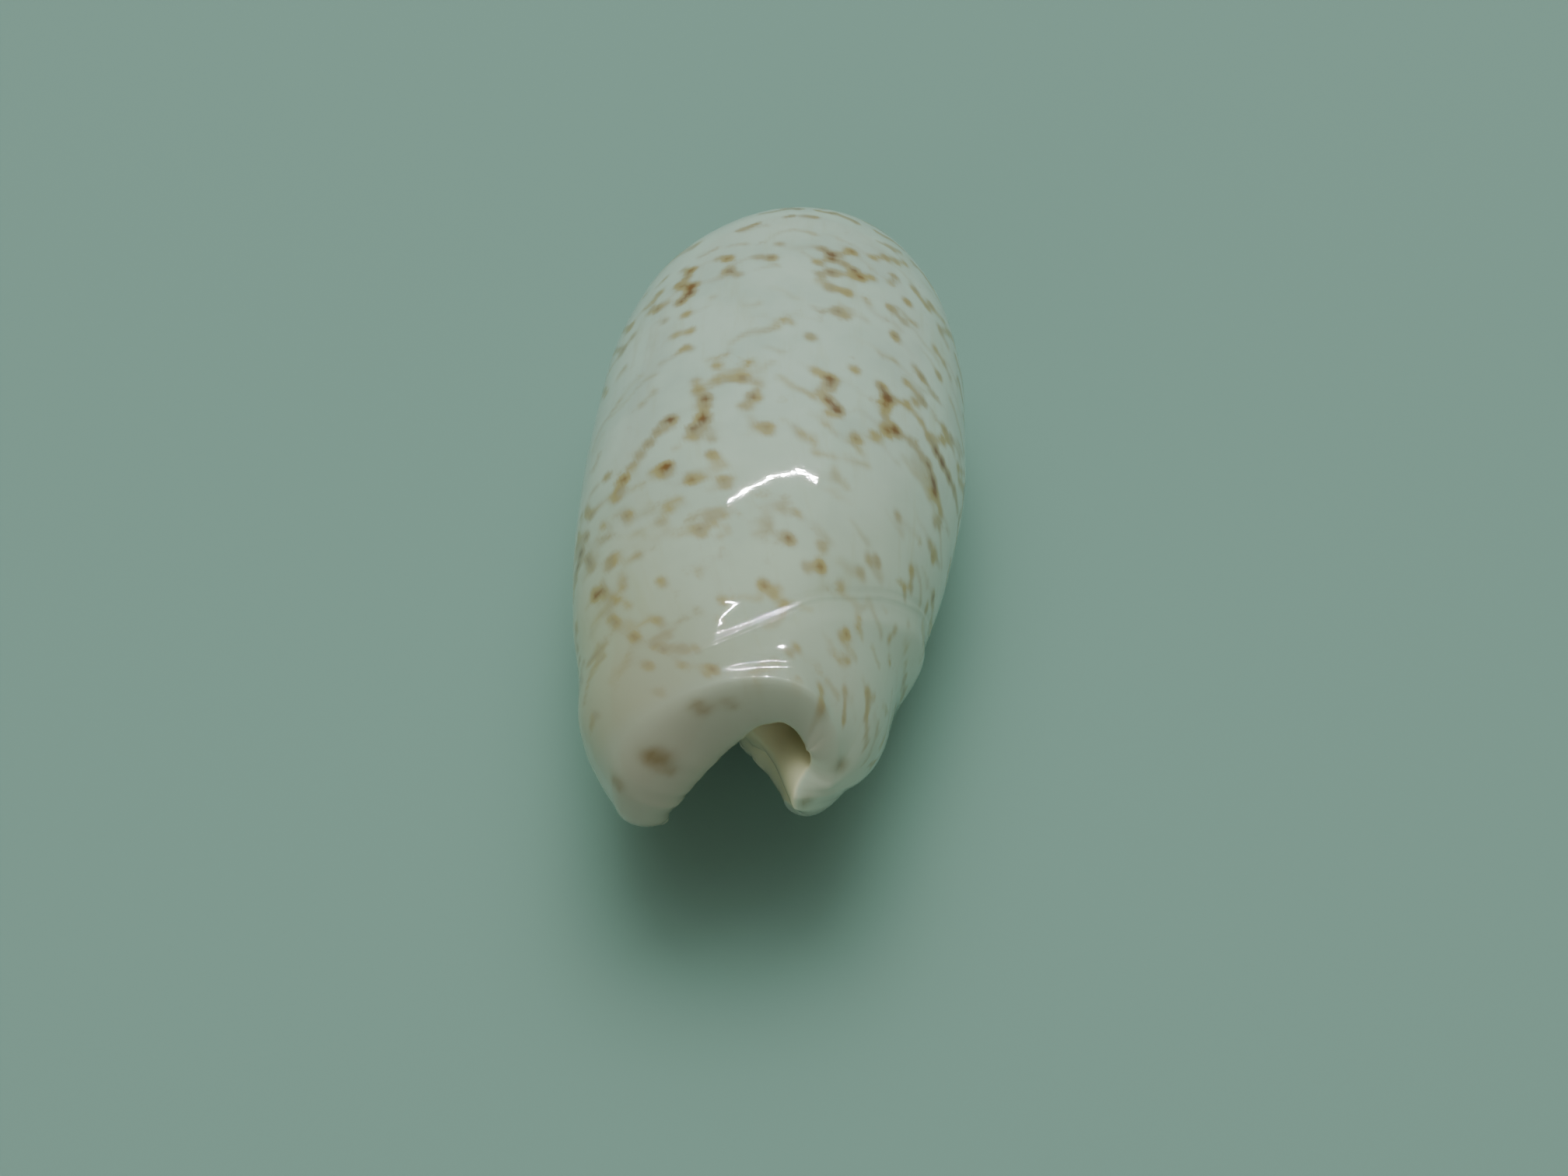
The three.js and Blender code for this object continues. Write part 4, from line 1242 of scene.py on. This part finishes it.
class Value:
    """A number socket that can be used in Python arithmetic."""

    def __init__(self, book: "ShaderBook", socket: Socket) -> None:
        """Wraps a socket of the book's tree."""
        self.book = book
        self.socket = socket

    def __add__(self, other: "Value | float") -> "Value":
        """Sum."""
        return self.book.math("ADD", self, other)

    __radd__ = __add__

    def __rsub__(self, other: "Value | float") -> "Value":
        """Difference from a number."""
        return self.book.math("SUBTRACT", other, self)

    def __mul__(self, other: "Value | float") -> "Value":
        """Product."""
        return self.book.math("MULTIPLY", self, other)

    __rmul__ = __mul__

    def step(self, low: float, high: float) -> "Value":
        """0 up to low, 1 from high, eased between."""
        node = self.book.node("ShaderNodeMapRange", {"interpolation_type": "SMOOTHSTEP"},
                              {"Value": self, "From Min": low, "From Max": high})
        return Value(self.book, node.outputs["Result"])


Input = Value | float | tuple | Socket


@dataclass(frozen=True)
class Grain:
    """Noise over coordinates, which may be stretched first."""

    scale: float
    detail: float
    roughness: float
    stretch: Place = (1, 1, 1)


@dataclass(frozen=True)
class Coat:
    """Colour laid where a value passes from low to high. Patches of it may be warmer."""

    low: float
    high: float
    share: float
    tint: Table
    warm_tint: Table = ()


class ShaderBook:
    """Adds nodes to one material's tree."""

    def __init__(self, name: str) -> None:
        """Starts an empty material.

        Args:
            name: What the material is called.
        """
        self.material = bpy.data.materials.new(name)
        self.material.use_nodes = True
        self.tree = self.material.node_tree
        self.tree.nodes.clear()

    def node(self, kind: str, settings: dict[str, object], inputs: dict[str | int, Input]) -> bpy.types.Node:
        """Adds a node.

        Args:
            kind: The node's type.
            settings: Its properties, set first.
            inputs: Values or links for its sockets, by name or number.

        Returns:
            The node.
        """
        node = self.tree.nodes.new(kind)
        for key, value in settings.items():
            setattr(node, key, value)
        for key, value in inputs.items():
            socket = node.inputs[key]
            if isinstance(value, Value):
                value = value.socket
            if isinstance(value, Socket):
                self.tree.links.new(value, socket)
            else:
                socket.default_value = value
        return node

    def math(self, operation: str, *values: Value | float) -> Value:
        """Adds a Math node over values or numbers."""
        node = self.node("ShaderNodeMath", {"operation": operation}, dict(enumerate(values)))
        return Value(self, node.outputs[0])

    def painted(self, paint: Paint) -> Value:
        """Reads a number painted on the surface."""
        node = self.node("ShaderNodeAttribute", {"attribute_name": paint.value}, {})
        return Value(self, node.outputs["Fac"])

    def split(self, vector: Socket, axis: str) -> Value:
        """One coordinate of a vector."""
        return Value(self, self.node("ShaderNodeSeparateXYZ", {}, {"Vector": vector}).outputs[axis])

    def noise(self, vector: Socket, grain: Grain) -> Value:
        """Noise from 0 to 1.

        Args:
            vector: Coordinates to read it at.
            grain: Its fineness and character.

        Returns:
            The noise.
        """
        if grain.stretch != Grain.stretch:
            mapping = self.node("ShaderNodeMapping", {}, {"Vector": vector, "Scale": grain.stretch})
            vector = mapping.outputs["Vector"]
        node = self.node("ShaderNodeTexNoise", {}, {"Vector": vector, "Scale": grain.scale,
                                                    "Detail": grain.detail, "Roughness": grain.roughness})
        return Value(self, node.outputs["Fac"])

    def blend(self, factor: Value, a: Input, b: Input) -> Socket:
        """Mixes colour a towards colour b."""
        return self.node("ShaderNodeMix", {"data_type": "RGBA"}, {0: factor, 6: a, 7: b}).outputs[2]

    def lay(self, value: Value, coat: Coat, under: Input, warmth: Value | None = None) -> Socket:
        """Lays a coat over a colour.

        Args:
            value: Where the coat lies.
            coat: The coat.
            under: The colour below.
            warmth: Where the coat's warmer tint shows.

        Returns:
            The colour that results.
        """
        tint = self.blend(warmth, coat.tint, coat.warm_tint) if coat.warm_tint else coat.tint
        return self.blend(value.step(coat.low, coat.high) * coat.share, under, tint)

    def finish(self, inputs: dict[str, Input]) -> bpy.types.Material:
        """Ends the tree with a Principled shader.

        Args:
            inputs: Values or links for the shader's sockets.

        Returns:
            The material.
        """
        shader = self.node("ShaderNodeBsdfPrincipled", {}, inputs)
        self.node("ShaderNodeOutputMaterial", {}, {"Surface": shader.outputs["BSDF"]})
        return self.material


def srgb(red: float, green: float, blue: float) -> Table:
    """Linear colour from an sRGB one given in 0 to 255."""
    parts = (part / 255 for part in (red, green, blue))
    return (*(c / 12.92 if c <= 0.04045 else ((c + 0.055) / 1.055) ** 2.4 for c in parts), 1.0)


# Finishes

@dataclass(frozen=True)
class Porcelain:
    """The shell's glossy finish, from the white back to the brown inside.

    Its front cream, partly painted shade toward the front-left, and its wanders are a base and what is added
    to it.
    """

    white: Table = srgb(222, 237, 225)
    cream: Table = srgb(202, 201, 166)
    # The margin's bluish grey, which also serves as painted shade near the front margin.
    rim_grey_and_painted_shade: Table = srgb(172, 164, 150)
    # The face's olive-cream tint, made pale as painted light for the shaded notch.
    face_tint_and_painted_light: Table = srgb(242, 230, 194)
    clouding: Coat = Coat(0.35, 0.7, 1, srgb(209, 225, 214))
    streaking: Coat = Coat(0.5, 0.8, 0.35, cream)
    # Cream toward the front end is its own tone; its extra share toward the lip's side is painted shade on
    # the front-left.
    front: Range = (0.08, 0.5)
    left: Range = (0.12, 0.3)
    front_cream_and_left_shade: Range = (0.45, 0.5)
    veils: tuple[tuple[Paint, float, Table], ...] = (
        (Paint.BAND, 0.5, srgb(206, 216, 200)), (Paint.CALLUS, 0.85, srgb(206, 216, 210)),
        (Paint.SPIRE, 0.35, cream))
    fleck_tan: Coat = Coat(0.02, 0.36, 0.85, srgb(186, 173, 140), srgb(190, 168, 112))
    fleck_brown: Coat = Coat(0.3, 0.9, 0.93, srgb(138, 102, 74), srgb(146, 100, 56))
    stain_brown: Coat = Coat(0.05, 0.95, 0.9, srgb(138, 114, 74))
    # The inside's own orange, kept pale as painted light for the shaded cavity.
    hollow_orange: Coat = Coat(0.02, 0.5, 1, srgb(214, 182, 112))
    hollow_deep: Coat = Coat(0.45, 1, 0.85, srgb(206, 142, 62))

    cloud: Grain = Grain(260, 3, 0.6)
    streak: Grain = Grain(1, 4, 0.6, (60, 8, 1))
    wander: Grain = Grain(1500, 2, 0.5)
    warmth: Grain = Grain(620, 2, 0.5)
    warm_from: Range = (0.38, 0.62)
    mist: Grain = Grain(900, 3, 0.6)
    mist_from: Range = (0.55, 0.85)
    mist_share: float = 0.2
    fleck_wander: Range = (0.75, 0.55)
    stain_wander: Range = (0.6, 0.8)
    face_wander: Range = (0.8, 0.2)

    roughness: float = 0.025
    streak_roughness: float = 0.01
    streak_dull: Range = (0.5, 0.9)
    swell: Grain = Grain(1250, 0, 0.5)
    swell_share: float = 6.0
    ripple: Grain = Grain(4400, 1, 0.5)
    lines: Grain = Grain(1, 1, 0.5, (260, 9, 1))
    lines_share: float = 0.4
    ripple_height: float = 0.9e-6
    softness: float = 0.12
    softness_radius: Place = (1.0, 0.9, 0.7)

    def make(self) -> bpy.types.Material:
        """Builds the material.

        Returns:
            The material, which reads the shell's paint, its growth map and its own coordinates.
        """
        book = ShaderBook("porcelain")
        place = book.node("ShaderNodeTexCoord", {}, {}).outputs["Object"]
        growth = book.node("ShaderNodeUVMap", {"uv_map": GROWTH}, {}).outputs["UV"]
        streak, wander = book.noise(growth, self.streak), book.noise(place, self.wander)

        colour = book.lay(book.noise(place, self.cloud), self.clouding, self.white)
        colour = book.lay(streak, self.streaking, colour)
        # Cream toward the front end, its own tone, with more toward the lip's side as painted shade on the
        # front-left.
        front = 1 - book.split(growth, "Y").step(*self.front)
        left = 1 - book.split(growth, "X").step(*self.left)
        colour = book.blend(front * (self.front_cream_and_left_shade[0] + left * self.front_cream_and_left_shade[1]), colour, self.cream)
        for paint, share, tint in self.veils:
            colour = book.blend(book.painted(paint) * share, colour, tint)

        warmth = book.noise(place, self.warmth).step(*self.warm_from)
        mist = book.noise(place, self.mist).step(*self.mist_from) * self.mist_share
        flecks = book.painted(Paint.FLECKS) * (self.fleck_wander[0] + wander * self.fleck_wander[1]) + mist
        for coat in (self.fleck_tan, self.fleck_brown):
            colour = book.lay(flecks, coat, colour, warmth)

        # Rim grey: the margin's own bluish grey together with painted shade.
        colour = book.blend(book.painted(Paint.RIM_TINT_AND_SHADE), colour, self.rim_grey_and_painted_shade)
        stains = book.painted(Paint.STAINS) * (self.stain_wander[0] + wander * self.stain_wander[1])
        colour = book.lay(stains, self.stain_brown, colour)
        # Pale face tint: its own olive-cream together with painted light in the shaded notch.
        face = book.painted(Paint.FACE) * (self.face_wander[0] + wander * self.face_wander[1])
        colour = book.blend(face, colour, self.face_tint_and_painted_light)
        # Inside orange: its own colour, kept pale as painted light.
        for coat in (self.hollow_orange, self.hollow_deep):
            colour = book.lay(book.painted(Paint.HOLLOW), coat, colour)

        relief = book.noise(place, self.swell) * self.swell_share + book.noise(place, self.ripple)
        relief = relief + book.noise(growth, self.lines) * self.lines_share
        bump = book.node("ShaderNodeBump", {}, {"Strength": 1.0, "Distance": self.ripple_height,
                                                "Height": relief})
        return book.finish({
            "Base Color": colour,
            "Roughness": self.roughness + streak.step(*self.streak_dull) * self.streak_roughness,
            "Normal": bump.outputs["Normal"],
            "Subsurface Weight": self.softness,
            "Subsurface Scale": MM,
            "Subsurface Radius": self.softness_radius,
        })


@dataclass(frozen=True)
class PaleFloor:
    """The plain pale floor."""

    colour: Table = srgb(148, 180, 171)
    roughness: float = 0.6
    size: float = 6.0
    squares: int = 4

    def build(self) -> None:
        """Lays the floor under the shell."""
        bm = bmesh.new()
        bmesh.ops.create_grid(bm, x_segments=self.squares, y_segments=self.squares, size=self.size / 2)
        floor = shown(ended(bm, "floor"), "floor")
        floor.data.materials.append(ShaderBook("floor_matt").finish(
            {"Base Color": self.colour, "Roughness": self.roughness, "Specular IOR Level": 0.0}))


# Light and camera

class Reach(Enum):
    """What a lamp does to a surface."""

    SOFT = "lights it"
    MIRRORED = "is mirrored in it"
    BOTH = "does both"


@dataclass(frozen=True)
class Lamp:
    """One area lamp."""

    name: str
    place: Place
    aim: Place
    face: Range
    power: float
    colour: Place
    reach: Reach

    def hang(self) -> None:
        """Adds the lamp to the scene."""
        data = bpy.data.lights.new(self.name, "AREA")
        data.size, data.size_y = self.face
        data.shape = "DISK" if data.size == data.size_y else "RECTANGLE"
        data.energy = self.power
        data.color = self.colour
        holder = shown(data, self.name)
        holder.visible_glossy = self.reach is not Reach.SOFT
        holder.visible_diffuse = self.reach is not Reach.MIRRORED
        holder.location = self.place
        holder.rotation_euler = (Vector(self.aim) - Vector(self.place)).to_track_quat("-Z", "Y").to_euler()


@dataclass(frozen=True)
class Studio:
    """Soft light from all round, with lamps."""

    sky: Table = srgb(198, 210, 192)
    sky_strength: float = 0.24
    below: Place = (0.0, 0.18, 0.0)
    cool: Place = (0.85, 1.0, 0.92)
    lamps: tuple[Lamp, ...] = (
        Lamp("overhead_core", (0.0, 0.18, 0.58), below, (0.36, 0.36), 1.0, cool, Reach.SOFT),
        Lamp("overhead_middle", (0.0, 0.18, 0.59), below, (0.62, 0.62), 1.1, cool, Reach.SOFT),
        Lamp("overhead_wide", (0.0, 0.18, 0.60), below, (0.95, 0.95), 0.9, cool, Reach.BOTH),
        Lamp("front_fill", (-0.08, -0.33, 0.1), (0.0, -0.01, 0.005), (0.3, 0.2), 0.17, (1.0, 1.0, 0.9),
             Reach.SOFT),
        Lamp("tube", (0.0129, 0.159, 0.2647), (0.032, -0.009, 0.014), (0.225, 0.0005), 1.8, (1.0, 1.0, 1.0),
             Reach.MIRRORED),
    )

    def light(self) -> None:
        """Sets the world's light and hangs the lamps."""
        world = bpy.data.worlds.new("studio")
        bpy.context.scene.world = world
        world.use_nodes = True
        background = world.node_tree.nodes["Background"]
        background.inputs["Color"].default_value = self.sky
        background.inputs["Strength"].default_value = self.sky_strength
        for lamp in self.lamps:
            lamp.hang()


@dataclass(frozen=True)
class ViewPoint:
    """The camera, at the photograph's angle to the shell."""

    eye: Place = (0.004268, -0.050552, 0.057066)
    forward: Place = (-0.05279, 0.65154, -0.75677)
    up: Place = (-0.03785, 0.75598, 0.6535)
    focal_pixels: float = 1903.8
    clip: Range = (0.002, 20)

    def place(self) -> None:
        """Creates the scene's camera."""
        data = bpy.data.cameras.new("camera")
        data.sensor_fit = "HORIZONTAL"
        data.sensor_width = SENSOR_WIDTH
        data.lens = self.focal_pixels * SENSOR_WIDTH / PHOTO_WIDTH
        data.clip_start, data.clip_end = self.clip
        camera = shown(data, "camera")
        back = -Vector(self.forward).normalized()
        right = Vector(self.up).cross(back).normalized()
        up = back.cross(right)
        camera.matrix_world = Matrix.Translation(self.eye) @ Matrix((right, up, back)).transposed().to_4x4()
        bpy.context.scene.camera = camera


def main() -> None:
    """Builds the shell and its studio."""
    logging.basicConfig(level=logging.INFO, format="%(name)s: %(message)s")
    ViewPoint().place()
    Studio().light()
    PaleFloor().build()

    shell = OliveShell().build()
    shell.data.materials.append(Porcelain().make())
    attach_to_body(shell, "root")
    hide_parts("shell")
    log.info("shell laid on the floor")


if __name__ == "__main__":
    main()
